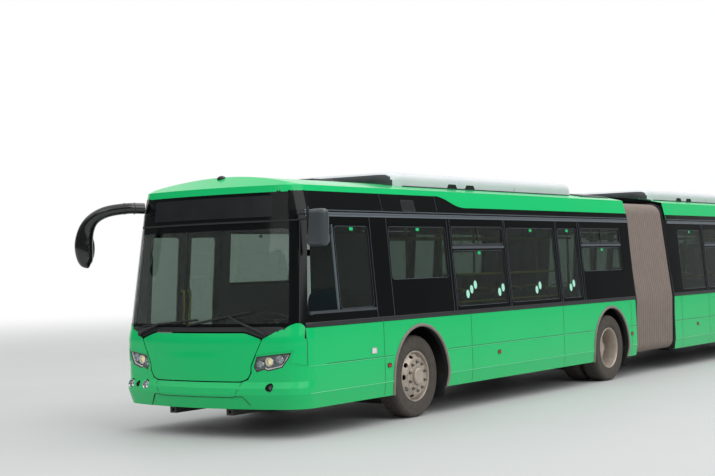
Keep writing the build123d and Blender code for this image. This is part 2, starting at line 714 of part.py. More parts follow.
def hub_cap(x, y, side, start, radius, length):
    """Closed cap over the spindle's end."""
    return ring([
        (side * start, 0.0), (side * start, radius), (side * (start + length * 0.6), radius),
        (side * (start + length), radius * 0.62), (side * (start + length), 0.0),
    ], x, y)


for side, name in ((1, "left"), (-1, "right")):
    x = side * FRONT_WHEEL_X
    write(f"front_{name}_tyre", tyre(x, FRONT_AXLE_Y))
    front_rim = rim(x, FRONT_AXLE_Y, side, FRONT_DISC_OFFSET, FRONT_DISC_OFFSET - 70)
    cap = hub_cap(x, FRONT_AXLE_Y, side, FRONT_DISC_OFFSET, 88, 45)
    clear = rod(min(x, x + side * (FRONT_DISC_OFFSET + 1)), FRONT_AXLE_Y, WHEEL_Z,
                SPINDLE + RUNNING, FRONT_DISC_OFFSET + 1, "X")
    write(f"front_{name}_rim", (front_rim + cap) - clear)
    for place, y in (("middle", MID_AXLE_Y), ("rear", REAR_AXLE_Y)):
        xo, xi = side * TWIN_OUTER_X, side * TWIN_INNER_X
        write(f"{place}_{name}_tyres", tyre(xo, y), tyre(xi, y))
        offset = TWIN_OUTER_X - TWIN_FACE_X
        outer = rim(xo, y, side, -offset, -offset + 60)
        inner = rim(xi, y, side, offset, offset - 60)
        cap = hub_cap(xo, y, side, -offset + 60, HUB, 120)
        spindle_end = TWIN_FACE_X + 62
        clear = rod(min(0, side * spindle_end), y, WHEEL_Z, SPINDLE + RUNNING, spindle_end, "X")
        write(f"{place}_{name}_rims", (outer + inner + cap) - clear)

# Door leaves
DOOR_LOW = FLOOR_TOP + 12
leaf_skin = {
    "front": front_hull(DOOR_INSET) - front_hull(DOOR_INSET + DOOR_THICKNESS),
    "rear": rear_hull(DOOR_INSET) - rear_hull(DOOR_INSET + DOOR_THICKNESS),
}
pane_skin = {
    "front": front_hull(DOOR_INSET + 14) - front_hull(DOOR_INSET + 14 + GLASS),
    "rear": rear_hull(DOOR_INSET + 14) - rear_hull(DOOR_INSET + 14 + GLASS),
}


def leaf(section, y0, y1):
    """One leaf: a frame that follows the wall, with its pane."""
    edge = DOOR_FRAME
    body = leaf_skin[section] & block(-1400, -900, y0, y1, DOOR_LOW, DOOR_HEAD - 5)
    glass = block(-1400, -900, y0 + edge, y1 - edge, DOOR_PANE_SILL, DOOR_HEAD - 5 - edge)
    return (body - glass) + (pane_skin[section] & glass)


for name, start, end in DOORWAYS:
    section = "front" if NOSE + end < FRONT_END else "rear"
    y0, y1 = NOSE + start + DOOR_GAP, NOSE + end - DOOR_GAP
    middle = (y0 + y1) / 2
    write(f"{name}_fore_leaf", leaf(section, y0, middle - DOOR_MEETING_GAP / 2))
    write(f"{name}_aft_leaf", leaf(section, middle + DOOR_MEETING_GAP / 2, y1))

# Turntable: lower ring on the front section, upper ring on the rear one, platform and hoop between
ARM_NEAR = 350
ARM_FAR = 480
SEAT_BLOCK_GAP = 20


def ring_plate(low, way, end):
    """Round plate at the pivot with an arm that widens to a section's end."""
    plate = rod(0, PIVOT_Y, low, PIVOT_RING, PIVOT_PLATE)
    y1 = end - way * JOINT_ARM
    corners = [(-ARM_NEAR, PIVOT_Y), (ARM_NEAR, PIVOT_Y), (ARM_FAR, y1), (-ARM_FAR, y1)]
    arm = extrude(Face(Wire.make_polygon([(x, y, low) for x, y in corners])), amount=PIVOT_PLATE, dir=(0, 0, 1))
    y0, y1 = sorted((y1, end - way * SEAT_BLOCK_GAP))
    return plate + arm + block(-ARM_FAR, ARM_FAR, y0, y1, low, SKIRT_BOTTOM)


lower = ring_plate(PIVOT_LOW, 1, FRONT_END)
lower = lower + rod(0, PIVOT_Y, PIVOT_LOW, PIVOT_PIN, 2 * PIVOT_PLATE + PIVOT_GAP)
write("lower_joint_ring", lower)
upper_low = PIVOT_LOW + PIVOT_PLATE + PIVOT_GAP
upper = ring_plate(upper_low, -1, REAR_START) - rod(0, PIVOT_Y, 0, PIVOT_PIN + RUNNING, 1000)
write("upper_joint_ring", upper)

hoop = rod(0, PIVOT_Y, SKIRT_BOTTOM, PLATFORM_RADIUS, FLOOR_TOP - SKIRT_BOTTOM)
y0, y1 = PIVOT_Y - HOOP_DEPTH / 2, PIVOT_Y + HOOP_DEPTH / 2
HOOP_FOOT = 990
HOOP_HIP = 600
HOOP_SHOULDER = 2330
HOOP_LEAN = 115
HOOP_CROWN = 245
# Right half of the hoop seen from ahead: x, z
HOOP_SIDE = [(HOOP_FOOT, SKIRT_BOTTOM), (HOOP_HALF, HOOP_HIP), (HOOP_HALF, BELT),
             (HOOP_HALF - HOOP_LEAN, HOOP_SHOULDER), (HOOP_HALF - HOOP_CROWN, HOOP_TOP)]
hoop_loop = HOOP_SIDE + [(-x, z) for x, z in reversed(HOOP_SIDE)]
hoop_inner = [(x - HOOP_BAR, z) for x, z in HOOP_SIDE[1:-1]]
hoop_inner = [(HOOP_FOOT - HOOP_BAR, FLOOR_TOP)] + hoop_inner
hoop_inner = hoop_inner + [(HOOP_HALF - HOOP_CROWN - HOOP_BAR / 2, HOOP_TOP - HOOP_BAR)]
hoop_in = hoop_inner + [(-x, z) for x, z in reversed(hoop_inner)]


def slab(points, start, amount):
    """Outline of (x, z) points drawn along +Y."""
    return extrude(Face(Wire.make_polygon([(x, start, z) for x, z in points])), amount=amount, dir=(0, 1, 0))


hoop = hoop + (slab(hoop_loop, y0, HOOP_DEPTH) - slab(hoop_in, y0, HOOP_DEPTH))
write("middle_hoop", hoop)


# Bellows: pleats between two rounded outlines
BELLOWS_CORNER = 190
BELLOWS_FOOT = 130
BELLOWS_SETBACK = 8
BELLOWS_END_GAP = 20


def pleat(y, inset):
    """Rounded outline of the bellows at one place along its length."""
    low, high = BELLOWS_BOTTOM + inset, BELLOWS_TOP - inset
    foot, mid, top = (half_at(z) - BELLOWS_SETBACK - inset for z in (SKIRT_BOTTOM, BELT, BELLOWS_TOP))
    rc, rf = BELLOWS_CORNER - inset, BELLOWS_FOOT - inset
    k = 1 - sqrt(0.5)
    right = [
        Edge.make_line((foot - rf, y, low), (-foot + rf, y, low)),
    ]

    def side_edges(s):
        return [
            Edge.make_three_point_arc((s * (foot - rf), y, low), (s * (foot - k * rf), y, low + k * rf),
                                      (s * foot, y, low + rf)),
            Edge.make_line((s * foot, y, low + rf), (s * mid, y, BELT)),
            Edge.make_line((s * mid, y, BELT), (s * top, y, high - rc)),
            Edge.make_three_point_arc((s * top, y, high - rc), (s * (top - k * rc), y, high - k * rc),
                                      (s * (top - rc), y, high)),
        ]

    left_up = side_edges(1)
    right_up = side_edges(-1)
    cap = Edge.make_line((top - rc, y, high), (-top + rc, y, high))
    return Wire(left_up + [cap] + list(reversed(right_up)) + right)


def pleated(inset):
    rows = []
    step = (BELLOWS_LENGTH - 2 * BELLOWS_END_GAP) / (2 * PLEATS)
    for i in range(2 * PLEATS + 1):
        y = FRONT_END + BELLOWS_END_GAP + i * step
        rows.append(pleat(y, inset + (PLEAT_DEPTH if i % 2 == 0 else 0)))
    return Solid.make_loft(rows, ruled=True)


BELLOWS_OPEN_HALF = 1060
bellows = pleated(0) - pleated(BELLOWS_SKIN)
bellows = bellows - block(-BELLOWS_OPEN_HALF, BELLOWS_OPEN_HALF, -BIG, BIG, 0, HOOP_HIP)
write("bellows", bellows)

# Seats: one side view drawn across, in rows
SEAT_HIGH = 430
SEAT_DEPTH = 430
SEAT_BACK = 620


def seat(x0, x1, y, floor):
    """Bench shell drawn across from its side view, facing the nose."""
    outline = [
        (0, SEAT_HIGH), (SEAT_DEPTH, SEAT_HIGH - 20), (SEAT_DEPTH + 130, SEAT_HIGH + SEAT_BACK),
        (SEAT_DEPTH + 165, SEAT_HIGH + SEAT_BACK - 10), (SEAT_DEPTH + 60, SEAT_HIGH - 60),
        (SEAT_DEPTH - 60, SEAT_HIGH - 80), (SEAT_DEPTH - 120, 0), (SEAT_DEPTH - 180, 0),
        (SEAT_DEPTH - 220, SEAT_HIGH - 70), (10, SEAT_HIGH - 50),
    ]
    face = Face(Wire.make_polygon([(x0, y + dy, floor + dz) for dy, dz in outline]))
    return extrude(face, amount=x1 - x0, dir=(1, 0, 0))


# Rows: place back from the nose, left start, right end, floor
SEAT_OUT = 1175
RAISED_SEAT_OUT = 1095
AISLE_HALF = 300
FRONT_ROWS = [4050, 4800, 5550, 6300]
FRONT_RIGHT_ROWS = [3500, 4150]
rows = []
for s in FRONT_ROWS:
    rows.append(seat(AISLE_HALF, SEAT_OUT, NOSE + s, FLOOR_TOP))
for s in FRONT_RIGHT_ROWS:
    rows.append(seat(-SEAT_OUT, -AISLE_HALF, NOSE + s, FLOOR_TOP))
write("front_seats", *rows)
REAR_ROWS = [11500, 12250, 13000]
RAISED_ROWS = [15830, 16600]
rows = []
for s in REAR_ROWS:
    rows.append(seat(AISLE_HALF, SEAT_OUT, NOSE + s, FLOOR_TOP))
for s in RAISED_ROWS:
    rows.append(seat(AISLE_HALF, RAISED_SEAT_OUT, NOSE + s, RAISED_FLOOR_TOP))
    rows.append(seat(-RAISED_SEAT_OUT, -AISLE_HALF, NOSE + s, RAISED_FLOOR_TOP))
write("rear_seats", *rows)

# Handrails: posts with a rail along the ceiling
RAIL = 17
RAIL_X = 270
RAIL_Z = 2120


def rails(posts, y0, y1, floor):
    shape = None
    for side in (1, -1):
        line = rod(side * RAIL_X, y0, RAIL_Z, RAIL, y1 - y0, "Y")
        for y in posts:
            line = line + rod(side * RAIL_X, y, floor, RAIL, CEILING - floor)
        shape = [line] if shape is None else shape + [line]
    return shape


FRONT_POSTS = [3450, 4750, 6550, 8500]
REAR_POSTS = [10450, 11750, 13300, 15600]
write("front_handrails", *rails([NOSE + s for s in FRONT_POSTS], NOSE + 3300, NOSE + 8600, FLOOR_TOP))
write("rear_handrails", *rails([NOSE + s for s in REAR_POSTS], NOSE + 10350, NOSE + 15700, FLOOR_TOP))

# Driver's place: dash on its console, steering wheel, seat on a pedestal and the partition behind it
CAB_INSET = WALL + 12
DASH_X = (-420, 1150)
DASH_LOW = 700
DASH_TOP = 1120
DASH_BACK = 760
CONSOLE_Y = (480, 560)
WHEEL_TILT = -25
WHEEL_PLACE = (620, 755, 1215)
WHEEL_RADIUS = 225
WHEEL_BAR = 14
COLUMN_PLACE = (620, 700, 1090)
DRIVER_X = (390, 860)
DRIVER_PLACE = 1130
DRIVER_RAISE = 120
PEDESTAL_Y = (120, 370)
PEDESTAL_HALF = 125
PARTITION_Y = (1830, 1860)
PARTITION_START = 280
PARTITION_TOP = 2150
cab_form = front_hull(CAB_INSET)
dash = cab_form & block(*DASH_X, -BIG, NOSE + DASH_BACK, DASH_LOW, DASH_TOP)
column_x, column_s, column_z = COLUMN_PLACE
column = Pos(column_x, NOSE + column_s, column_z) * Rot(WHEEL_TILT, 0, 0) * Cylinder(35, 260)
wheel_x, wheel_s, wheel_z = WHEEL_PLACE
wheel_at = Pos(wheel_x, NOSE + wheel_s, wheel_z) * Rot(WHEEL_TILT, 0, 0)
wheel = wheel_at * Torus(WHEEL_RADIUS, WHEEL_BAR)
spoke = wheel_at * Box(2 * (WHEEL_RADIUS - WHEEL_BAR / 2), 50, 12)
console = cab_form & block(*DASH_X, NOSE + CONSOLE_Y[0], NOSE + CONSOLE_Y[1], FLOOR_TOP, DASH_LOW)
driver_seat = seat(*DRIVER_X, NOSE + DRIVER_PLACE, FLOOR_TOP + DRIVER_RAISE)
driver_mid = sum(DRIVER_X) / 2
pedestal_y = NOSE + DRIVER_PLACE
driver_seat = driver_seat + block(driver_mid - PEDESTAL_HALF, driver_mid + PEDESTAL_HALF,
                                  pedestal_y + PEDESTAL_Y[0], pedestal_y + PEDESTAL_Y[1],
                                  FLOOR_TOP, FLOOR_TOP + DRIVER_RAISE + SEAT_HIGH - 60)
partition = cab_form & block(PARTITION_START, BIG, NOSE + PARTITION_Y[0], NOSE + PARTITION_Y[1],
                             FLOOR_TOP, PARTITION_TOP)
cab = dash + console + column + wheel + spoke
write("driver_cab", *solids(cab), *solids(driver_seat), *solids(partition))

# Roof gear: covers with rounded corners and side vents
POD_HALF = 800
POD_TOP = 2905
POD_BASE = 2700
POD_CORNER = 260
POD_EDGE = 110
VENT_LOW = 2738
VENT_HIGH = 2788
VENT_LENGTH = 255
VENT_SLANT = 40
VENT_DEPTH = 12
# Covers, measured back from the nose: name, start, end, starts of the vents
PODS = [
    ("front", 2780, 7750, [4080, 4530]),
    ("rear", 10380, 14600, [11600, 12050]),
]


def pod(start, end, vents):
    """Cover on the roof with round corners, a rounded top edge and vents cut into its sides."""
    body = block(-POD_HALF, POD_HALF, NOSE + start, NOSE + end, POD_BASE, POD_TOP)
    body = fillet(body.edges().filter_by(Axis.Z), POD_CORNER)
    body = fillet(body.faces().sort_by(Axis.Z)[-1].edges(), POD_EDGE)
    for s in vents:
        vent = [(s, VENT_LOW), (s + VENT_LENGTH, VENT_LOW), (s + VENT_LENGTH - VENT_SLANT, VENT_HIGH),
                (s + VENT_SLANT, VENT_HIGH)]
        for side in (1, -1):
            x0, x1 = sorted((side * (POD_HALF - VENT_DEPTH), side * (POD_HALF + VENT_DEPTH)))
            body = body - side_prism(vent, x0, x1)
    return body


roofs = {"front": front_roof, "rear": rear_roof}
for name, start, end, vents in PODS:
    write(f"{name}_roof_pod", pod(start, end, vents) - roofs[name])

# Right mirror: an arched arm from the roof's corner and the long head at its end, back from the nose
ARM_RADIUS = 50
ARM_PATH = [(-1020, 460, 2500), (-1130, 300, 2502), (-1280, 130, 2470), (-1420, 60, 2395), (-1515, 40, 2280)]
# Head from the arm's end down: x, distance from the nose, height, radius
HEAD_RINGS = [(-1515, 40, 2280, ARM_RADIUS), (-1552, 30, 2130, 88), (-1548, 30, 2000, 88), (-1525, 30, 1900, 62),
              (-1500, 35, 1845, 14)]
arm_line = Edge.make_spline([Vector(x, NOSE + s, z) for x, s, z in ARM_PATH])
right_mirror = sweep(Plane(origin=arm_line @ 0, z_dir=arm_line % 0) * Circle(ARM_RADIUS), path=arm_line)
elbow_x, elbow_s, elbow_z = ARM_PATH[-1]
right_mirror = right_mirror + Pos(elbow_x, NOSE + elbow_s, elbow_z) * Sphere(ARM_RADIUS)
head_rings = [Wire.make_circle(radius, Plane(origin=(x, NOSE + s, z))) for x, s, z, radius in HEAD_RINGS]
right_mirror = right_mirror + Solid.make_loft(head_rings)

# Left mirror: a rounded box on two pegs
BOX_EDGE = 40
PEG_RADIUS = 13
left_mirror = block(1300, 1560, NOSE + 375, NOSE + 500, 1995, 2390)
left_mirror = fillet(left_mirror.edges(), BOX_EDGE)
for z in (2290, 2340):
    left_mirror = left_mirror + rod(1100, NOSE + 440, z, PEG_RADIUS, 220, "X")
mirrors = (left_mirror + right_mirror) - front_outer - front_roof
write("mirrors", *solids(mirrors))

# Wipers seen from ahead: pivot on the mask, elbow on the blade, the blade's ends
WIPERS = [
    ((872, 1088), (435, 1285), (700, 1330), (-120, 1190)),
    ((-900, 1090), (-560, 1204), (-860, 1180), (20, 1250)),
]
WIPER_PIVOT = 16
WIPER_ARM_HALF = 8
WIPER_BLADE_HALF = 7
WIPER_BLADE_OUT = 10
WIPER_ARM_OUT = 22
WIPER_LAP = 2
pivot_skin = front_hull(-WIPER_ARM_OUT) - front_outer
arm_skin = front_hull(-WIPER_ARM_OUT) - front_hull(-WIPER_BLADE_OUT + WIPER_LAP)
blade_skin = front_hull(-WIPER_BLADE_OUT) - front_hull(SCREEN_INSET)
wipers = []
for pivot, elbow, low, high in WIPERS:
    wiper = pivot_skin & rod(pivot[0], NOSE - AHEAD, pivot[1], WIPER_PIVOT, 2 * AHEAD, "Y")
    wiper = wiper + (arm_skin & ahead_prism(strip(pivot, elbow, WIPER_ARM_HALF)))
    wiper = wiper + (blade_skin & ahead_prism(strip(low, high, WIPER_BLADE_HALF)))
    wipers += solids(wiper)
write("wipers", *wipers)
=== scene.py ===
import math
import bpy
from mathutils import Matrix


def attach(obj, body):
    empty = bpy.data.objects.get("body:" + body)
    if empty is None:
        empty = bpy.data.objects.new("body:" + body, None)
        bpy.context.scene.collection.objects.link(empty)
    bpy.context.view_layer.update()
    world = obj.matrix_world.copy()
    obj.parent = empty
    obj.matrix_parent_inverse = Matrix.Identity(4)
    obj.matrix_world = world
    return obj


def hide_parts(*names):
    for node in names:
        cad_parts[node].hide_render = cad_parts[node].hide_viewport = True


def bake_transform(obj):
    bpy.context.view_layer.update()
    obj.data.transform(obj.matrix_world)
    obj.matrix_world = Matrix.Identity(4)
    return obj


bl_info = {
    "name": "Articulated City Bus",
    "version": (1, 0, 0),
    "blender": (4, 5, 0),
    "location": "View3D > Sidebar > City Bus",
    "description": "Paint, glass, trim, lamps, wheels and fittings of an articulated city bus",
    "category": "Object",
}

import bmesh
import bpy
from mathutils import Matrix, Vector, geometry

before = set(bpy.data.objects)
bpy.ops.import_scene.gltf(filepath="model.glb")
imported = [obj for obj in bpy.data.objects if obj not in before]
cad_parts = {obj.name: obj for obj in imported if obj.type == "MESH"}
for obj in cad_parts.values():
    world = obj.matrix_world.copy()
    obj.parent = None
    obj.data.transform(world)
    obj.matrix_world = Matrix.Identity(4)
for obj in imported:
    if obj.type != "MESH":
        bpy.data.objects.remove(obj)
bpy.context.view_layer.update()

FRONT = "front_section"
REAR = "rear_section"
# Metres. Nose towards -Y, the bus's own left towards +X, ground at Z 0.
NOSE = -9.0
TAIL = 9.0
FRONT_END = -0.26
REAR_START = 1.25
# Body levels: height, half width, nose set-back, tail set-back
LEVELS = [
    (0.312, 1.250, 0.120, 0.060),
    (0.469, 1.275, 0.065, 0.000),
    (0.535, 1.275, 0.065, 0.000),
    (0.600, 1.275, 0.105, 0.000),
    (1.045, 1.270, 0.095, 0.010),
    (1.153, 1.268, 0.130, 0.020),
    (2.390, 1.167, 0.300, 0.110),
    (2.663, 1.100, 0.330, 0.160),
]
# Ends of the body: tip, way inwards, bow, corner radius, column of the set-back
NOSE_FORM = (NOSE, 1, 3.4, 0.3, 2)
TAIL_FORM = (TAIL, -1, 9.0, 0.18, 3)
BELT = 1.153
GUTTER = 2.390
COVE_TOP = 2.598
ROOF_EDGE = 2.663
WINDOW_HEAD = 2.250
# Slanted edge of the windscreen and the width of the pillar behind it
SCREEN_EDGE = ((0.390, 1.153), (0.540, 2.285))
PILLAR = 0.075
SIGN_HALF = 1.020
SIGN_HIGH = 2.590
# Side windows: start and end from the nose, sill, hopper line or 0; the first is the driver's open sash
FRONT_LEFT_WINDOWS = [
    (1.040, 1.740, 1.300, 0), (2.100, 3.400, 1.590, 0), (3.490, 4.810, 1.230, 1.976),
    (4.870, 6.270, 1.230, 0), (6.340, 6.970, 1.230, 0), (7.060, 8.420, 1.590, 1.990),
]
FRONT_RIGHT_WINDOWS = [
    (2.100, 3.400, 1.590, 0), (3.490, 4.810, 1.230, 1.976), (6.340, 6.970, 1.230, 0),
    (7.060, 8.420, 1.590, 1.990),
]
REAR_LEFT_WINDOWS = [
    (10.660, 11.720, 1.230, 0), (11.800, 13.200, 1.230, 1.976), (13.270, 14.670, 1.590, 1.990),
    (14.740, 16.140, 1.590, 0), (16.210, 17.500, 1.590, 1.990),
]
REAR_RIGHT_WINDOWS = [
    (10.660, 11.720, 1.230, 0), (13.270, 14.670, 1.590, 1.990), (14.740, 16.140, 1.590, 0),
    (16.210, 17.500, 1.590, 1.990),
]
DOORWAYS = {"front_door": (0.660, 1.940), "middle_door": (4.910, 6.250), "rear_door": (11.830, 13.170)}
AXLES = {"front": 2.630, "middle": 7.850, "rear": 14.600}
AXLE_Z = 0.4785
ARCH_RADIUS = 0.585


def linear(code):
    """Linear colour with alpha of an sRGB hex code."""
    parts = [int(code[i:i + 2], 16) / 255 for i in (1, 3, 5)]
    return tuple(c / 12.92 if c <= 0.04045 else ((c + 0.055) / 1.055) ** 2.4 for c in parts) + (1.0,)


def tinted(values, share):
    """Colour property's values darkened to a share, with alpha."""
    return tuple(v * share for v in values) + (1.0,)


# ---------------------------------------------------------------- places on the body


def at(x, s, z):
    """Point from its x, its distance from the nose and its height."""
    return Vector((x, NOSE + s, z))


def along(start, end, share):
    """Pair of numbers that lies a share of the way from one pair to another."""
    return tuple(a + (b - a) * share for a, b in zip(start, end))


def level_at(z):
    """Index of the body level below a height, and the share of the way to the next."""
    for i in range(len(LEVELS) - 1):
        if z <= LEVELS[i + 1][0] or i == len(LEVELS) - 2:
            low, high = LEVELS[i][0], LEVELS[i + 1][0]
            return i, (z - low) / (high - low)


def half_at(z):
    """Half width of the body's skin at a height."""
    i, t = level_at(z)
    return LEVELS[i][1] + (LEVELS[i + 1][1] - LEVELS[i][1]) * t


def outline(u, level, form):
    """Point round one end at a level: u 0 at mid, 1 at the bow's end, 2 at the corner's end."""
    tip, way, bow, corner, column = form
    _, half = LEVELS[level][:2]
    setback = LEVELS[level][column]
    across = half - corner
    angle = math.asin(across / (bow - corner))
    if u <= 1:
        return bow * math.sin(u * angle), tip + way * (setback + bow - bow * math.cos(u * angle))
    back = bow - math.sqrt((bow - corner) ** 2 - across ** 2)
    turn = angle + (u - 1) * (math.pi / 2 - angle)
    return across + corner * math.sin(turn), tip + way * (setback + back - corner * math.cos(turn))


def end_point(u, z, form):
    """Point of the skin round one end, u below 0 on the bus's right."""
    i, t = level_at(z)
    x0, y0 = outline(abs(u), i, form)
    x1, y1 = outline(abs(u), i + 1, form)
    return Vector((math.copysign(x0 + (x1 - x0) * t, u), y0 + (y1 - y0) * t, z))


def halved(short):
    """u from 0 to 2 up to which a test holds."""
    low, high = 0.0, 2.0
    for _ in range(30):
        mid = (low + high) / 2
        low, high = (mid, high) if short(mid) else (low, mid)
    return low


def corner_u(s, z, form):
    """u of the skin's point at a distance from the end, on its right or left corner."""
    return halved(lambda u: abs(end_point(u, z, form).y - form[0]) < s)


def round_end(form):
    """Place function (u, z, out) round one end."""
    def place(u, z, out):
        u = min(max(u, -1.999), 1.999)
        point = end_point(u, z, form)
        along = end_point(u + 0.001, z, form) - end_point(u - 0.001, z, form)
        up = end_point(u, z + 0.002, form) - end_point(u, z - 0.002, form)
        normal = along.cross(up).normalized()
        if normal.y * form[1] > 0:
            normal = -normal
        return point + normal * out
    return place


def end_u(x, z, form):
    """u of the skin's point at an x and a height."""
    return math.copysign(halved(lambda u: end_point(u, z, form).x < abs(x)), x)


def ahead(form):
    """Place function (x, z, out) for outlines seen from straight ahead or behind."""
    wrap = round_end(form)

    def place(x, z, out):
        return wrap(end_u(x, z, form), z, out)
    return place


def beside(side):
    """Place function (distance from the nose, z, out) on one flank."""
    def place(s, z, out):
        i, _ = level_at(z)
        z0, w0 = LEVELS[i][:2]
        z1, w1 = LEVELS[i + 1][:2]
        rise, lean = z1 - z0, w0 - w1
        span = math.hypot(rise, lean)
        return Vector((side * (half_at(z) + out * rise / span), NOSE + s, z + out * lean / span))
    return place


on_nose = ahead(NOSE_FORM)
on_tail = ahead(TAIL_FORM)
round_nose = round_end(NOSE_FORM)


def flat(origin, right, up):
    """Place function (a, b, out) on a plane."""
    right, up = Vector(right).normalized(), Vector(up).normalized()
    normal = right.cross(up)

    def place(a, b, out):
        return Vector(origin) + right * a + up * b + normal * out
    return place


# ---------------------------------------------------------------- outlines


def rounded(a0, a1, b0, b1, radius, parts=5):
    """Rectangle with round corners, as one loop of (a, b)."""
    points = []
    for ca, cb, start in ((a1 - radius, b1 - radius, 0), (a0 + radius, b1 - radius, 90),
                          (a0 + radius, b0 + radius, 180), (a1 - radius, b0 + radius, 270)):
        for i in range(parts + 1):
            angle = math.radians(start + 90 * i / parts)
            points.append((ca + radius * math.cos(angle), cb + radius * math.sin(angle)))
    return points


def oval(ca, cb, ra, rb, parts=24):
    """Ellipse as one loop of (a, b)."""
    return [(ca + ra * math.cos(math.tau * i / parts), cb + rb * math.sin(math.tau * i / parts))
            for i in range(parts)]


def softened(points, radius, parts=4):
    """Polygon with its corners rounded by a quadratic curve."""
    result = []
    count = len(points)
    for i, corner in enumerate(points):
        corner = Vector(corner)
        before = Vector(points[i - 1]) - corner
        after = Vector(points[(i + 1) % count]) - corner
        start = corner + before.normalized() * min(radius, before.length * 0.45)
        end = corner + after.normalized() * min(radius, after.length * 0.45)
        for j in range(parts + 1):
            t = j / parts
            point = start * (1 - t) ** 2 + corner * 2 * t * (1 - t) + end * t * t
            result.append(tuple(point))
    return result


def grown(points, amount):
    """Closed loop moved outwards by an amount, for loops that turn anticlockwise."""
    result = []
    count = len(points)
    for i, point in enumerate(points):
        before = Vector(point) - Vector(points[i - 1])
        after = Vector(points[(i + 1) % count]) - Vector(point)
        if before.length < 1e-7 or after.length < 1e-7:
            result.append(tuple(point))
            continue
        n0 = Vector((before.y, -before.x)).normalized()
        n1 = Vector((after.y, -after.x)).normalized()
        mean = n0 + n1
        mean = mean.normalized() if mean.length > 1e-6 else n0
        reach = amount / max(mean.dot(n0), 0.5)
        result.append(tuple(Vector(point) + mean * reach))
    return result


def turning(points):
    """The loop in anticlockwise order."""
    area = sum(points[i - 1][0] * p[1] - p[0] * points[i - 1][1] for i, p in enumerate(points))
    return points if area > 0 else list(reversed(points))


def smooth_path(points, parts=8):
    """Points along a rounded curve through the given points."""
    pts = [Vector(p) for p in points]
    pts = [pts[0] * 2 - pts[1]] + pts + [pts[-1] * 2 - pts[-2]]
    path = []
    for a, b, c, d in zip(pts, pts[1:], pts[2:], pts[3:]):
        for j in range(parts):
            t = j / parts
            path.append(0.5 * (2 * b + (c - a) * t + (2 * a - 5 * b + 4 * c - d) * t * t
                               + (3 * b - a - 3 * c + d) * t ** 3))
    path.append(pts[-2])
    return path


# ---------------------------------------------------------------- mesh making


def web(rows, size, ring=False, loop=True):
    """Quads between rows of points: ring joins last row and first, loop each row's end and start."""
    faces = []
    for i in range(rows if ring else rows - 1):
        here, after = i * size, (i + 1) % rows * size
        for j in range(size if loop else size - 1):
            k = (j + 1) % size
            faces.append((here + j, here + k, after + k, after + j))
    return faces


def heading(points, i):
    """Way along a row of points at one of them."""
    return points[min(i + 1, len(points) - 1)] - points[max(i - 1, 0)]


def crosses(point, loop):
    """How many times a line from the point to the right crosses the loop."""
    hits = 0
    for i, (x1, y1) in enumerate(loop):
        x0, y0 = loop[i - 1]
        if (y0 > point.y) != (y1 > point.y) and point.x < (x1 - x0) * (point.y - y0) / (y1 - y0) + x0:
            hits += 1
    return hits


def divided(points, step):
    """Points along straight runs, at most a step apart, without the last one."""
    dense = []
    for p, q in zip(points, points[1:]):
        p, q = Vector(p), Vector(q)
        parts = max(1, math.ceil((q - p).length / step))
        dense += [p.lerp(q, j / parts) for j in range(parts)]
    return dense


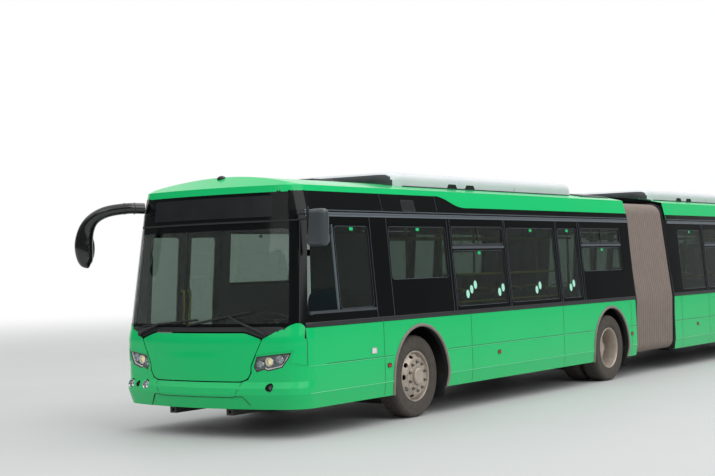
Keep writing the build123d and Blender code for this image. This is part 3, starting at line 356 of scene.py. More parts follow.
class Form:
    """One piece's mesh, gathered from sheets, tubes, turned rings and rounded blocks."""

    def __init__(self):
        self.verts = []
        self.faces = []
        self.marks = []

    def add(self, verts, faces, mark=0):
        """Adds points and faces; the mark is the number of their finish."""
        start = len(self.verts)
        self.verts += [tuple(v) for v in verts]
        self.faces += [tuple(start + i for i in face) for face in faces]
        self.marks += [mark] * len(faces)

    def sheet(self, loops, place, top, base=None, step=0.08, mark=0):
        """Sheet inside loops of (a, b), laid by a place function at top, with an edge down to base."""
        coords, edges = [], []
        lift = top if callable(top) else lambda a, b: top
        for loop in loops:
            dense = divided(list(loop) + [loop[0]], step)
            start = len(coords)
            coords += dense
            edges += [(start + i, start + (i + 1) % len(dense)) for i in range(len(dense))]
        low = Vector(map(min, *[tuple(c) for c in coords]))
        high = Vector(map(max, *[tuple(c) for c in coords]))
        a = low.x + step * 0.5
        while a < high.x:
            b = low.y + step * 0.37
            while b < high.y:
                coords.append(Vector((a, b)))
                b += step
            a += step
        verts, _, faces, *_ = geometry.delaunay_2d_cdt(coords, edges, [], 0, 1e-5)
        kept = []
        for face in faces:
            mid = sum((verts[i] for i in face), Vector((0, 0))) / len(face)
            if sum(crosses(mid, loop) for loop in loops) % 2:
                kept.append(face)
        used = sorted({i for face in kept for i in face})
        number = {old: new for new, old in enumerate(used)}
        points = [place(verts[i].x, verts[i].y, lift(*verts[i])) for i in used]
        faces = [[number[i] for i in face] for face in kept]
        if faces:
            first = faces[0]
            start = verts[kept[0][0]]
            outside = place(start.x, start.y, lift(*start) + 0.01)
            normal = (points[first[1]] - points[first[0]]).cross(points[first[2]] - points[first[0]])
            if normal.dot(outside - points[first[0]]) < 0:
                faces = [list(reversed(face)) for face in faces]
        if base is not None:
            border = {}
            for face in faces:
                for i, j in zip(face, face[1:] + face[:1]):
                    if (j, i) in border:
                        del border[(j, i)]
                    else:
                        border[(i, j)] = True
            shift = len(points)
            points += [place(verts[i].x, verts[i].y, base) for i in used]
            faces += [[j, i, i + shift, j + shift] for i, j in border]
        self.add(points, faces, mark)

    def seam(self, points, place, width, out, mark=0, step=0.05, closed=False):
        """Thin line of a width along (a, b) points, laid by a place function."""
        points = list(points) + [points[0]] if closed else points
        dense = divided(points, step) + [Vector(points[-1])]
        middle = [place(p.x, p.y, out) for p in dense]
        verts = []
        for i, (p, m) in enumerate(zip(dense, middle)):
            normal = place(p.x, p.y, out + 0.01) - m
            across = normal.cross(heading(middle, i)).normalized() * width / 2
            verts += [m - across, m + across]
        self.add(verts, [(i, i + 2, i + 3, i + 1) for i in range(0, len(verts) - 2, 2)], mark)

    def bar(self, verts, size, mark):
        """Closed bar of rows of points, with a cap at each end."""
        rows = len(verts) // size
        caps = [tuple(reversed(range(size))), tuple((rows - 1) * size + j for j in range(size))]
        self.add(verts, web(rows, size) + caps, mark)

    def tube(self, points, radius, mark=0, sides=12):
        """Round bar along points, with one radius or a list of them."""
        pts = [Vector(p) for p in points]
        radii = radius if isinstance(radius, list) else [radius] * len(pts)
        side = None
        verts = []
        for i, (point, r) in enumerate(zip(pts, radii)):
            way = heading(pts, i).normalized()
            if side is None:
                side = way.orthogonal().normalized()
            side = (side - way * side.dot(way)).normalized()
            up = way.cross(side)
            for j in range(sides):
                angle = math.tau * j / sides
                verts.append(point + side * math.cos(angle) * r + up * math.sin(angle) * r)
        self.bar(verts, sides, mark)

    def sweep(self, points, section, ups, mark=0):
        """Closed section of (across, up) drawn along points, with its up direction or a list of them."""
        pts = [Vector(p) for p in points]
        verts = []
        for i, point in enumerate(pts):
            way = heading(pts, i).normalized()
            up = Vector(ups[i] if isinstance(ups, list) else ups)
            up = (up - way * up.dot(way)).normalized()
            across = way.cross(up)
            verts += [point + across * a + up * b for a, b in section]
        self.bar(verts, len(section), mark)

    def turn(self, profile, centre, axis, mark=0, parts=48, closed=False):
        """Profile of (along, radius) turned about an axis through a centre."""
        centre, axis = Vector(centre), Vector(axis).normalized()
        side = axis.orthogonal().normalized()
        up = axis.cross(side)
        verts = []
        for j in range(parts):
            angle = math.tau * j / parts
            spoke = side * math.cos(angle) + up * math.sin(angle)
            verts += [centre + axis * along + spoke * radius for along, radius in profile]
        self.add(verts, web(parts, len(profile), True, closed), mark)

    def block(self, start, end, edge=0.01, mark=0, parts=2):
        """Block with rounded edges between two corners of (x, distance from the nose, z)."""
        start, end = at(*start), at(*end)
        low, high = Vector(map(min, start, end)), Vector(map(max, start, end))
        size = high - low
        mesh = bmesh.new()
        bmesh.ops.create_cube(mesh, size=1)
        for vert in mesh.verts:
            vert.co = Vector((vert.co.x * size.x, vert.co.y * size.y, vert.co.z * size.z)) + (low + high) / 2
        edge = min(edge, min(size) * 0.45)
        bmesh.ops.bevel(mesh, geom=mesh.edges[:], offset=edge, segments=parts, profile=0.5, affect="EDGES")
        mesh.verts.index_update()
        verts = [v.co.copy() for v in mesh.verts]
        faces = [[v.index for v in face.verts] for face in mesh.faces]
        mesh.free()
        self.add(verts, faces, mark)

    def pad(self, centre, tilt, size):
        """Cushion about (x, distance from the nose, z), tilted by degrees, full in the middle."""
        around, rows, corner, fullness = 28, 10, 0.38, 0.75
        matrix = Matrix.Translation(at(*centre)) @ Matrix.Rotation(math.radians(tilt), 4, "X")
        width, depth, height = size
        verts = []

        def power(value, exponent):
            return math.copysign(abs(value) ** exponent, value)
        for i in range(rows + 1):
            rise = math.pi * (i / rows - 0.5)
            reach = power(math.cos(rise), fullness)
            for j in range(around):
                angle = math.tau * j / around
                verts.append(matrix @ Vector((width / 2 * reach * power(math.cos(angle), corner),
                                              depth / 2 * reach * power(math.sin(angle), corner),
                                              height / 2 * power(math.sin(rise), fullness))))
        self.add(verts, web(rows + 1, around))

    def make(self, name, finishes, body, slot, angle=35, replaces=(), welded=0.0):
        """The finished piece in one or more finishes, riding on a body."""
        mesh = bpy.data.meshes.new(name)
        mesh.from_pydata(self.verts, [], self.faces)
        for key in [finishes] if isinstance(finishes, str) else finishes:
            mesh.materials.append(FINISH[key])
        mesh.polygons.foreach_set("material_index", self.marks)
        work = bmesh.new()
        work.from_mesh(mesh)
        if welded:
            bmesh.ops.remove_doubles(work, verts=work.verts, dist=welded)
        work.to_mesh(mesh)
        work.free()
        mesh.shade_smooth()
        mesh.set_sharp_from_angle(angle=math.radians(angle))
        mesh.update()
        piece = bpy.data.objects.new(name, mesh)
        bpy.context.scene.collection.objects.link(piece)
        if body:
            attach(piece, body)
        if replaces:
            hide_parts(*replaces)
        return piece


# ---------------------------------------------------------------- finishes


def add(tree, kind, feeds=None, **settings):
    """Adds a node with its settings; feeds link another node's output to an input, or give it a value."""
    made = tree.nodes.new(kind)
    for key, value in settings.items():
        if hasattr(made, key):
            setattr(made, key, value)
        else:
            made.inputs[key.replace("_", " ")].default_value = value
    for key, source in (feeds or {}).items():
        if isinstance(source, bpy.types.NodeSocket):
            tree.links.new(source, made.inputs[key])
        else:
            made.inputs[key].default_value = source
    return made


def finish(name, colour, second, patch, rough, grain, bump, metallic=0.0, ior=1.5, coat=0.0, dust=0.0,
           transmission=0.0, spread=0.08, specular=0.5, sheen=0.0, glow=0.0, alpha=1.0):
    """Surface with two mixed tones in patches (mm), a grain (mm) with bump (mm), and road dust low down."""
    material = bpy.data.materials.new(name)
    material.use_nodes = True
    tree = material.node_tree
    tree.nodes.clear()
    place = add(tree, "ShaderNodeTexCoord").outputs["Object"]
    patches = add(tree, "ShaderNodeTexNoise", {"Vector": place}, Scale=1000 / patch,
                  Detail=4.0).outputs["Fac"]
    first, other = (linear(c) if isinstance(c, str) else c for c in (colour, second))
    tone = add(tree, "ShaderNodeMix", {"Factor": patches, 6: first, 7: other}, data_type="RGBA").outputs[2]
    gloss = add(tree, "ShaderNodeMapRange", {"Value": patches}, To_Min=max(rough - spread, 0.0),
                To_Max=min(rough + spread, 1.0))
    if dust:
        height = add(tree, "ShaderNodeSeparateXYZ", {"Vector": place})
        low = add(tree, "ShaderNodeMapRange", {"Value": height.outputs["Z"]}, From_Min=0.75, From_Max=0.25,
                  To_Max=dust)
        specks = add(tree, "ShaderNodeTexNoise", {"Vector": place}, Scale=9.0, Detail=6.0)
        share = add(tree, "ShaderNodeMath", {0: low.outputs["Result"], 1: specks.outputs["Fac"]},
                    operation="MULTIPLY")
        tone = add(tree, "ShaderNodeMix", {"Factor": share.outputs[0], 6: tone, 7: linear("#8A8276")},
                   data_type="RGBA").outputs[2]
    shader = add(tree, "ShaderNodeBsdfPrincipled", {"Base Color": tone, "Roughness": gloss.outputs["Result"]},
                 Metallic=metallic, Coat_Weight=coat, Coat_Roughness=0.04, Transmission_Weight=transmission,
                 Sheen_Weight=sheen, Alpha=alpha)
    if not metallic:
        shader.inputs["IOR"].default_value = ior
        shader.inputs["Specular IOR Level"].default_value = specular
    if glow:
        shader.inputs["Emission Color"].default_value = linear(colour)
        shader.inputs["Emission Strength"].default_value = glow
    if bump:
        grains = add(tree, "ShaderNodeTexNoise", {"Vector": place}, Scale=1000 / grain, Detail=3.0)
        relief = add(tree, "ShaderNodeBump", {"Height": grains.outputs["Fac"]}, Strength=1.0,
                     Distance=bump / 1000)
        tree.links.new(relief.outputs["Normal"], shader.inputs["Normal"])
    add(tree, "ShaderNodeOutputMaterial", {"Surface": shader.outputs["BSDF"]})
    return material


FINISH = {}


def make_finishes(looks):
    """Every finish, by name."""
    f = FINISH
    body = looks.body_colour
    # Two-pack polyurethane paint, sprayed: deep even green with a wet gloss, a little dusty low down
    f["green_paint"] = finish("two_pack_green_paint", tinted(body, 1.0), tinted(body, 0.95), 900, 0.17,
                              8, 0.03, specular=0.3, dust=0.14)
    # The same paint on the roof and its edge, a little lighter than on the flanks
    f["roof_paint"] = finish("two_pack_roof_paint", "#12C873", "#0EC06D", 900, 0.20, 8, 0.03, specular=0.3)
    # Gloss black paint and film over the window band: near-black with clear reflections
    f["black_paint"] = finish("gloss_black_paint", "#0A0C0D", "#0E1112", 700, 0.10, 8, 0.02, specular=0.3)
    # Toughened glass, tinted green-grey in the melt: dark from outside, clear enough to see through
    f["tinted_glass"] = finish("tinted_toughened_glass", "#808D86", "#798780", 900, 0.0, 8, 0.0, ior=1.45,
                               transmission=1.0, spread=0.0)
    # Silvered mirror glass, slightly grey
    f["mirror_glass"] = finish("silvered_mirror", "#B8C0C6", "#AEB6BC", 300, 0.04, 6, 0.0, metallic=1.0,
                               spread=0.01)
    # Matt film of the blank display behind its glass: near black with a soft grey cast
    f["sign_film"] = finish("matt_display_film", "#15181A", "#1B1F22", 200, 0.32, 3, 0.02)
    # Laminated glass with hardly any tint: clear with bright reflections
    f["clear_glass"] = finish("laminated_clear_glass", "#B9C6BF", "#B3C1B9", 900, 0.0, 8, 0.0, ior=1.45,
                              transmission=1.0, spread=0.0)
    # Anodised aluminium section, extruded: blue-grey satin metal with a fine draw along it
    f["aluminium"] = finish("anodised_aluminium", "#8D979F", "#7F8992", 300, 0.36, 3, 0.04, metallic=0.9)
    # EPDM rubber, extruded: dull black with a faint bloom
    f["rubber"] = finish("extruded_epdm_rubber", "#17181A", "#232424", 120, 0.72, 3, 0.15)
    # Grey EPDM rubber of the wheel-arch trims, scuffed and dusty
    f["grey_rubber"] = finish("grey_epdm_rubber", "#8C827E", "#7A716C", 90, 0.8, 3, 0.3, dust=0.4)
    # ABS, moulded with a fine leather grain: charcoal that catches a soft sheen
    f["black_plastic"] = finish("moulded_black_abs", "#191B1D", "#212326", 150, 0.48, 1.6, 0.12)
    # High-gloss ABS, moulded and lacquered: piano black with sharp highlights
    f["gloss_plastic"] = finish("lacquered_black_abs", "#0E0F10", "#131415", 300, 0.14, 6, 0.02, coat=0.6)
    # Polyurethane grey paint on moulded plastic, matt and slightly pitted
    f["grey_plastic"] = finish("painted_grey_abs", "#3E4549", "#353B3F", 120, 0.34, 2.2, 0.10)
    # Chromium plate over plastic: mirror with a slight haze
    f["chrome"] = finish("chromium_plate", "#DADDDF", "#CDD1D4", 60, 0.1, 4, 0.01, metallic=1.0)
    # Warm filament lens: pale yellow polycarbonate that glows a little
    f["warm_lens"] = finish("warm_polycarbonate_lens", "#F4E9B4", "#E9DA9A", 30, 0.2, 3, 0.05, glow=0.25)
    # Reflector bowl of a lamp, vapour-coated aluminium: grey mirror with soft facets
    f["projector"] = finish("vapour_coated_reflector", "#B4BBC0", "#8F979D", 25, 0.18, 4, 0.05, metallic=1.0)
    # Clear polycarbonate lens, moulded
    f["lens"] = finish("clear_polycarbonate", "#DDE6EA", "#D3DDE2", 200, 0.03, 6, 0.0, ior=1.58, spread=0.02,
                       alpha=0.13)
    # Amber, red and white polycarbonate, moulded with small prisms
    f["amber_lens"] = finish("amber_polycarbonate", "#F08A12", "#E07A08", 20, 0.2, 5, 0.4, ior=1.58)
    f["red_lens"] = finish("red_polycarbonate", "#C01410", "#A80E0C", 20, 0.2, 5, 0.4, ior=1.58)
    f["white_lens"] = finish("white_polycarbonate", "#E4E6E4", "#D6D9D8", 20, 0.22, 5, 0.4, ior=1.58)
    # Gelcoat over glass fibre, moulded: off-white with broad waviness
    f["gelcoat"] = finish("white_gelcoat", "#D2D6D8", "#C6CBCE", 500, 0.32, 60, 0.4, coat=0.2)
    # Polyester powder coat, safety yellow: even satin with orange peel
    f["yellow_powder"] = finish("yellow_powder_coat", "#E8D81C", "#DCCB18", 120, 0.35, 2.5, 0.08)
    # Vinyl floor with quartz chips, rolled: speckled grey
    f["vinyl"] = finish("quartz_vinyl_floor", "#3A3D40", "#54585A", 7, 0.62, 3, 0.2)
    # Glass-fibre lining panel, painted warm grey
    f["lining"] = finish("grey_lining_panel", "#5E6263", "#55595A", 400, 0.5, 2, 0.08)
    # Chassis paint over welded steel, near-black so the parts showing under the bumper read as painted shade;
    # dusty and stone-chipped
    f["chassis"] = finish("chassis_black_paint", "#17181A", "#232220", 160, 0.6, 6, 0.6, dust=0.12)
    # Cast iron, rough from the mould
    f["iron"] = finish("cast_iron", "#3B3734", "#2A2725", 40, 0.62, 2.5, 0.4, metallic=0.6)
    # Silver wheel paint on pressed steel, stained by brake dust
    f["wheel_paint"] = finish("silver_wheel_paint", "#C4B8AC", "#A2978B", 70, 0.42, 3, 0.12, metallic=0.35)
    # Zinc-plated steel nut, slightly rusted
    f["zinc"] = finish("zinc_plated_steel", "#9A958E", "#6F6860", 12, 0.4, 2, 0.1, metallic=0.9)
    # Tyre rubber, moulded and road-worn: brown-grey dust over black
    f["tyre"] = finish("road_worn_tyre_rubber", "#3B3733", "#57504A", 60, 0.86, 3, 0.5)
    # Moquette, woven wool: blue-grey pile with darker flecks
    f["moquette"] = finish("woven_moquette", "#3E4C5C", "#243040", 9, 0.95, 1.6, 0.5, sheen=0.4)
    # Moulded polypropylene shell, dark grey
    f["shell_plastic"] = finish("moulded_polypropylene", "#5A6064", "#4F5559", 150, 0.5, 1.8, 0.1)
    # Coated polyester fabric of the bellows: dusty taupe, seen as a weave of 2 mm so that it shows
    f["bellows"] = finish("coated_polyester_fabric", "#8A7D75", "#7B6F68", 140, 0.7, 2, 0.35)
    # The green paint lightened on a rolled edge: a painted highlight where the sky would lie along it as a
    # bright line
    f["bright_edge"] = finish("painted_highlight_edge", "#7FEDB6", "#6FE3A9", 300, 0.22, 8, 0.03, specular=0.3)
    # Green transfer film, printed
    f["mint_film"] = finish("mint_vinyl_film", "#B0F0D8", "#A6E8CF", 60, 0.4, 3, 0.02)
    f["green_film"] = finish("green_vinyl_film", "#18C878", "#14BE70", 60, 0.4, 3, 0.02)
    # Aluminium-oxide grey paint of the roof gear, also laid on the roof pods' forward faces as painted shade
    f["gear_paint"] = finish("dark_gear_paint", "#2B2F32", "#3A3F42", 200, 0.55, 4, 0.3)


def paint_node(name, finishes, rule=None):
    """Gives a CAD node one finish, or several by a rule of each face's centre and normal."""
    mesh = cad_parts[name].data
    mesh.materials.clear()
    for key in [finishes] if isinstance(finishes, str) else finishes:
        mesh.materials.append(FINISH[key])
    marks = [rule(face.center, face.normal) if rule else 0 for face in mesh.polygons]
    mesh.polygons.foreach_set("material_index", marks)
    mesh.shade_smooth()
    mesh.set_sharp_from_angle(angle=math.radians(24))
    mesh.update()


def facing(centre, normal):
    """How far a wall's face looks out of the bus: 1 outwards, -1 inwards."""
    if centre.y < NOSE + 1.0:
        away = Vector((centre.x * 0.6, centre.y - (NOSE + 2.2), 0))
    elif centre.y > TAIL - 1.0:
        away = Vector((centre.x * 0.6, centre.y - (TAIL - 2.2), 0))
    else:
        away = Vector((centre.x, 0, 0))
    return normal.dot(away.normalized())


def nose_point(x=None, z=0.0, s=None):
    """(u, z) of a point on the nose, from its x or its distance from the nose, on the bus's left."""
    return (end_u(x, z, NOSE_FORM) if s is None else corner_u(s, z, NOSE_FORM), z)


def mirrored(points, side):
    """Points of (a, b) on the left side, or turned over to the right one."""
    return [(a * side, b) for a, b in points]


def girdle(z, out, start, end, side):
    """Points along the skin at a height, with their outward directions, between distances from the nose."""
    corner = abs(end_point(1.999, z, NOSE_FORM).y - NOSE)
    spots = []
    s = start
    while s < min(corner, end):
        spots.append((round_nose, side * corner_u(s, z, NOSE_FORM)))
        s += 0.02
    s = max(start, corner)
    while s < end:
        spots.append((beside(side), s))
        s += 0.5
    spots.append((beside(side), end))
    return [place(a, z, out) for place, a in spots], [place(a, z, 1.0) - place(a, z, 0.0) for place,
                                                      a in spots]


def wheel_place(centre, side, reference, turn):
    """Place function (arc at a reference radius, radius, out) on a wheel's outer face, turned by an angle."""
    centre = Vector(centre)

    def place(arc, radius, out):
        angle = arc / reference + turn
        return centre + Vector((side * out, radius * math.cos(angle), radius * math.sin(angle)))
    return place


SIDES = (("left", 1), ("right", -1))
SECTIONS = ((FRONT, FRONT_LEFT_WINDOWS, FRONT_RIGHT_WINDOWS),
            (REAR, REAR_LEFT_WINDOWS, REAR_RIGHT_WINDOWS))


# ---------------------------------------------------------------- values a user would change


class CityBusLooks(bpy.types.PropertyGroup):
    """Sizes and colours of the bus's finish."""
    body_colour: bpy.props.FloatVectorProperty(
        name="Body colour", description="Paint of the panels below the windows", subtype="COLOR",
        min=0.0, max=1.0, default=linear("#0CC36E")[:3])
    film_thickness: bpy.props.FloatProperty(
        name="Film thickness", description="How far the black film stands on the roof's cove",
        unit="LENGTH", default=0.002, min=0.0005, max=0.005)
    frit_width: bpy.props.FloatProperty(
        name="Glass border", description="Width of the black border round each side window",
        unit="LENGTH", default=0.028, min=0.01, max=0.08)
    arch_trim: bpy.props.FloatProperty(
        name="Arch trim", description="Width of the rubber trim round a wheel arch",
        unit="LENGTH", default=0.036, min=0.02, max=0.06)
    studs: bpy.props.IntProperty(
        name="Wheel studs", description="Number of studs and hand holes of a wheel", default=10, min=6,
        max=12)
    pleats: bpy.props.IntProperty(
        name="Pleats", description="Number of folds of the bellows", default=20, min=12, max=30)
    floor_colour: bpy.props.FloatVectorProperty(
        name="Floor colour", description="Colour of the studio floor", subtype="COLOR",
        min=0.0, max=1.0, default=linear("#C6C8C8")[:3])
    key_power: bpy.props.FloatProperty(
        name="Key light", description="Power of the large soft light", subtype="POWER", default=2600.0,
        min=0.0)


# ---------------------------------------------------------------- body


# Nodes that have one finish all over
PLAIN_NODES = (
    ("green_paint", ("engine_hatch",)),
    ("chassis",
     ("front_chassis", "rear_chassis", "front_axle", "middle_axle", "rear_axle", "lower_joint_ring",
                 "upper_joint_ring", "left_knuckle", "right_knuckle")),
    ("iron", ("engine",)),
    ("clear_glass", ("windscreen",)),
    ("black_paint", ("sign_glass",)),
    ("tinted_glass", ("front_side_glass", "rear_glass")),
    ("yellow_powder", ("front_handrails", "rear_handrails")),
)
# How squarely a face has to look outwards or inwards to count as a wall's outside or lining
FACES_OUT = 0.35
MASK_BELT = 1.045


def wall_rule(split):
    """Walls: green below the split outside, black above it, lining inside, rubber on the edges."""
    def rule(centre, normal):
        look = facing(centre, normal)
        if look > FACES_OUT:
            return 0 if centre.z < split else 1
        return 2 if look < -FACES_OUT else 3
    return rule


def roof_rule(centre, normal):
    """Roofs: paint above the gutter, black over the windscreen and below the gutter, lining inside."""
    if centre.y < NOSE + 0.7 and centre.z < COVE_TOP:
        return 1
    if centre.z < COVE_TOP + 0.012 and (normal.z < -0.5 or facing(centre, normal) < -FACES_OUT):
        return 2
    if abs(normal.y) > 0.9 and abs(centre.y) < 1.5:
        return 1
    return 1 if centre.z < GUTTER else 0


def floor_rule(centre, normal):
    """Floors: vinyl on top and chassis paint below."""
    return 0 if normal.z > -0.5 and centre.z > 0.33 else 1


def housing_rule(centre, normal):
    """Wheel housings: vinyl on top, lining towards the aisle, chassis paint over the wheels."""
    if normal.z > 0.5:
        return 0
    return 1 if centre.x * normal.x < -0.3 * abs(centre.x) and abs(centre.x) < 0.58 else 2


def hoop_rule(centre, normal):
    """Middle hoop: lining, with vinyl on its platform."""
    return 1 if normal.z > 0.5 and centre.z < 0.4 else 0


def cab_rule(centre, normal):
    """Driver's place: dash and wheel in black, chair covers in moquette, partition in grey."""
    s = centre.y - NOSE
    if s > 1.82:
        return 2
    return 1 if s > 1.05 and centre.z > 0.7 else 0


class CITYBUS_OT_body(bpy.types.Operator):
    """Paint, lining, glass and rubber of the CAD pieces that keep their form"""
    bl_idname = "citybus.body"
    bl_label = "Body"

    def execute(self, context):
        make_finishes(context.scene.city_bus_looks)
        wall = ["green_paint", "black_paint", "lining", "rubber"]
        for name in ("front_left_wall", "front_right_wall", "rear_left_wall", "rear_right_wall", "end_wall",
                     "front_bumper"):
            paint_node(name, wall, wall_rule(BELT))
        paint_node("front_mask", wall, wall_rule(MASK_BELT))
        for part in ("front", "rear"):
            paint_node(f"{part}_roof", ["roof_paint", "black_paint", "lining"], roof_rule)
            paint_node(f"{part}_floor", ["vinyl", "chassis"], floor_rule)
            paint_node(f"{part}_wheel_housings", ["vinyl", "lining", "chassis"], housing_rule)
        paint_node("middle_hoop", ["lining", "vinyl"], hoop_rule)
        paint_node("driver_cab", ["black_plastic", "moquette", "grey_plastic"], cab_rule)
        for key, names in PLAIN_NODES:
            for name in names:
                paint_node(name, key)
        return {"FINISHED"}


class CITYBUS_OT_cove(bpy.types.Operator):
    """Black film on the roof's cove, gutter strips, belt trim and panel seams"""
    bl_idname = "citybus.cove"
    bl_label = "Cove, Gutters and Seams"

    def execute(self, context):
        looks = context.scene.city_bus_looks
        thick = looks.film_thickness
        low, high, strip = GUTTER + 0.002, COVE_TOP, 2.466
        near, corner = (end_point(1.99, z, NOSE_FORM).y - NOSE - 0.002 for z in (low, high))
        sweep = smooth_path([(3.20, high), (3.321, 2.597), (3.46, 2.570), (3.60, 2.525), (3.72, 2.488),
                             (3.879, strip), (4.10, strip)], 6)
        sweep = [(p[0], p[1]) for p in sweep]
        for side_name, side in SIDES:
            place = beside(side)
            film = Form()
            loop = [(near, low), (8.738, low), (8.738, strip)] + list(reversed(sweep)) + [(corner, high)]
            film.sheet([loop], place, thick, 0.0, 0.12)
            around = [(end_u(SIGN_HALF + 0.004, low, NOSE_FORM), low), (1.999, low), (1.999, high),
                      (end_u(SIGN_HALF + 0.004, high, NOSE_FORM), high)]
            film.sheet([mirrored(around, side)], round_nose, thick, 0.0, 0.06)
            film.make(f"front_cove_film_{side_name}", "black_paint", FRONT, "door")
            film = Form()
            film.sheet([[(10.262, low), (17.80, low), (17.80, strip), (10.262, strip)]], place, thick, 0.0,
                       0.2)
            film.make(f"rear_cove_film_{side_name}", "black_paint", REAR, "door")

            # Gutters: a thin drip strip above a wider one, drawn along the flank
            for section, start, end in (("front", 0.60, 8.735), ("rear", 10.265, 17.78)):
                gutter = Form()
                for z, half, out in ((2.390, 0.006, 0.010), (2.348, 0.022, 0.009)):
                    bar = [(-half, -0.004), (half, -0.004), (half, out * 0.6), (half * 0.6, out),
                           (-half * 0.6, out), (-half, out * 0.6)]
                    path, ups = girdle(z, 0.0, start, end, side)
                    gutter.sweep(path, bar, ups)
                gutter.make(f"{section}_gutters_{side_name}", "aluminium", f"{section}_section", "aluminium")
                belt = Form()
                start = 0.448 if section == "front" else start
                doors = [span for span in DOORWAYS.values() if side < 0 and start < span[0] < end]
                cuts = [start] + [v for span in doors for v in (span[0] - 0.004, span[1] + 0.004)] + [end]
                bar = [(-0.025, -0.004), (0.025, -0.004), (0.025, 0.004), (0.019, 0.008), (-0.019, 0.008),
                       (-0.025, 0.004)]
                for s0, s1 in zip(cuts[::2], cuts[1::2]):
                    path, ups = girdle(1.182, 0.0, s0, s1, side)
                    belt.sweep(path, bar, ups)
                belt.make(f"{section}_belt_trim_{side_name}", "black_plastic", f"{section}_section",
                          "black_plastic")
        self.seams()
        return {"FINISHED"}

    def seams(self):
        """Gaps between the panels: dark lines with a bevelled lip under the level ones, its top ridge a
        painted highlight.
        """
        reach = ARCH_RADIUS + 0.02
        for section, start, end, uprights in (
                ("front", 0.452, 8.730, (1.850, 3.790, 6.300, 8.560)),
                ("rear", 10.270, 17.700, (10.560, 11.760, 13.230, 15.700, 17.40))):
            for side_name, side in SIDES:
                place = beside(side)
                lines = Form()
                spans = [(s - reach, s + reach) for s in AXLES.values() if start < s < end]
                spans += [span for span in DOORWAYS.values() if side < 0 and start < span[0] < end]
                spans.sort()
                cuts = [start] + [v for span in spans for v in span] + [end]
                for s0, s1 in zip(cuts[::2], cuts[1::2]):
                    if s1 - s0 < 0.05:
                        continue
                    for z, size in ((0.754, 0.006), (0.474, 0.009)):
                        bead = [(-size, -0.002), (size, -0.002), (size * 0.5, size * 0.35),
                                (-size * 0.4, size * 0.7),
                                (-size * 0.9, size * 0.6)]
                        path, ups = girdle(z, 0.0, s0, s1, side)
                        lines.sweep(path, mirrored(bead, side)[::side], ups, 1)
                        # Thin ridge on the bead's upper facet in the lightened green: a painted highlight
                        ridge = [(-size * 0.36, size * 0.70), (size * 0.46, size * 0.35),
                                 (size * 0.46, size * 0.35 + 0.001),
                                 (-size * 0.36, size * 0.70 + 0.001)]
                        lines.sweep(path, mirrored(ridge, side)[::side], ups, 2)
                    lines.seam([(max(s0, 0.74), 0.762), (s1, 0.762)], place, 0.005, 0.0016, 0, 0.5)
                    for s in uprights:
                        if s0 < s < s1:
                            lines.seam([(s, 0.33), (s, 0.755)], place, 0.005, 0.002, 0, 0.2)
                            lines.seam([(s, 0.767), (s, 1.150)], place, 0.005, 0.002, 0, 0.2)
                lines.make(f"{section}_seams_{side_name}", ["black_plastic", "green_paint", "bright_edge"],
                           f"{section}_section", "green_body")


class CITYBUS_OT_arches(bpy.types.Operator):
    """Rubber trims round the wheel arches, marker lamps and mudflaps"""
    bl_idname = "citybus.arches"
    bl_label = "Arches and Markers"

    def execute(self, context):
        width = context.scene.city_bus_looks.arch_trim
        low = math.asin((0.316 - AXLE_Z) / ARCH_RADIUS)
        section = [(-width / 2, -0.004), (width / 2, -0.004), (width / 2, 0.006), (width * 0.36, 0.013),
                   (0, 0.016), (-width * 0.36, 0.013), (-width / 2, 0.006)]
        for axle, s in AXLES.items():
            body = REAR if axle == "rear" else FRONT
            for side_name, side in SIDES:
                place = beside(side)
                path = []
                for i in range(49):
                    angle = low + (math.pi - 2 * low) * i / 48
                    radius = ARCH_RADIUS + width / 2 - 0.004
                    path.append(place(s + radius * math.cos(angle), AXLE_Z + radius * math.sin(angle), 0.0))
                trim = Form()
                trim.sweep(path, section, Vector((side, 0, 0)))
                trim.make(f"{axle}_arch_trim_{side_name}", "grey_rubber", body, "black_plastic", 50)
                flap = Form()
                inner = 0.86 if axle == "front" else 0.62
                flap.block((side * inner, s + 0.588, 0.17), (side * 1.205, s + 0.600, 0.46), 0.004)
                for i in range(5):
                    x = side * (inner + 0.06 + 0.12 * i * (1.2 - inner) / 0.6)
                    flap.block((x - 0.004, s + 0.582, 0.19), (x + 0.004, s + 0.589, 0.44), 0.002)
                flap.make(f"{axle}_mudflap_{side_name}", "rubber", body, "black_plastic")
        self.markers()
        return {"FINISHED"}

    def markers(self):
        """Indicators and side markers: a housing with a domed lens."""
        spots = [("front", 1.641, 0.841, 0.050, 0.034, "white_lens", "chrome")]
        spots += [(section, s, z, 0.036, 0.024, "red_lens", "black_plastic") for section, s, z in (
            ("front", 1.939, 0.658), ("front", 4.465, 0.644), ("front", 8.565, 0.647),
            ("rear", 11.216, 0.667),
            ("rear", 16.400, 0.667))]
        for side_name, side in SIDES:
            for i, (section, s, z, a, b, lens, frame_finish) in enumerate(spots):
                if side < 0 and any(s0 - 0.06 < s < s1 + 0.06 for s0, s1 in DOORWAYS.values()):
                    continue
                place = beside(side)
                lamp = Form()
                ring = rounded(s - a, s + a, z - b, z + b, b * 0.4)
                lamp.sheet([ring, rounded(s - a * 0.8, s + a * 0.8, z - b * 0.78, z + b * 0.78, b * 0.3)],
                           place, 0.008, 0.0, 0.03)
                lamp.sheet([rounded(s - a * 0.8, s + a * 0.8, z - b * 0.78, z + b * 0.78, b * 0.3)],
                           place, lambda p, q: 0.010 - 0.006 * max(abs(p - s) / a, abs(q - z) / b) ** 2,
                           0.0, 0.012, 1)
                lamp.make(f"{section}_marker_{side_name}_{i + 1}", [frame_finish, lens],
                          f"{section}_section", "lamp")


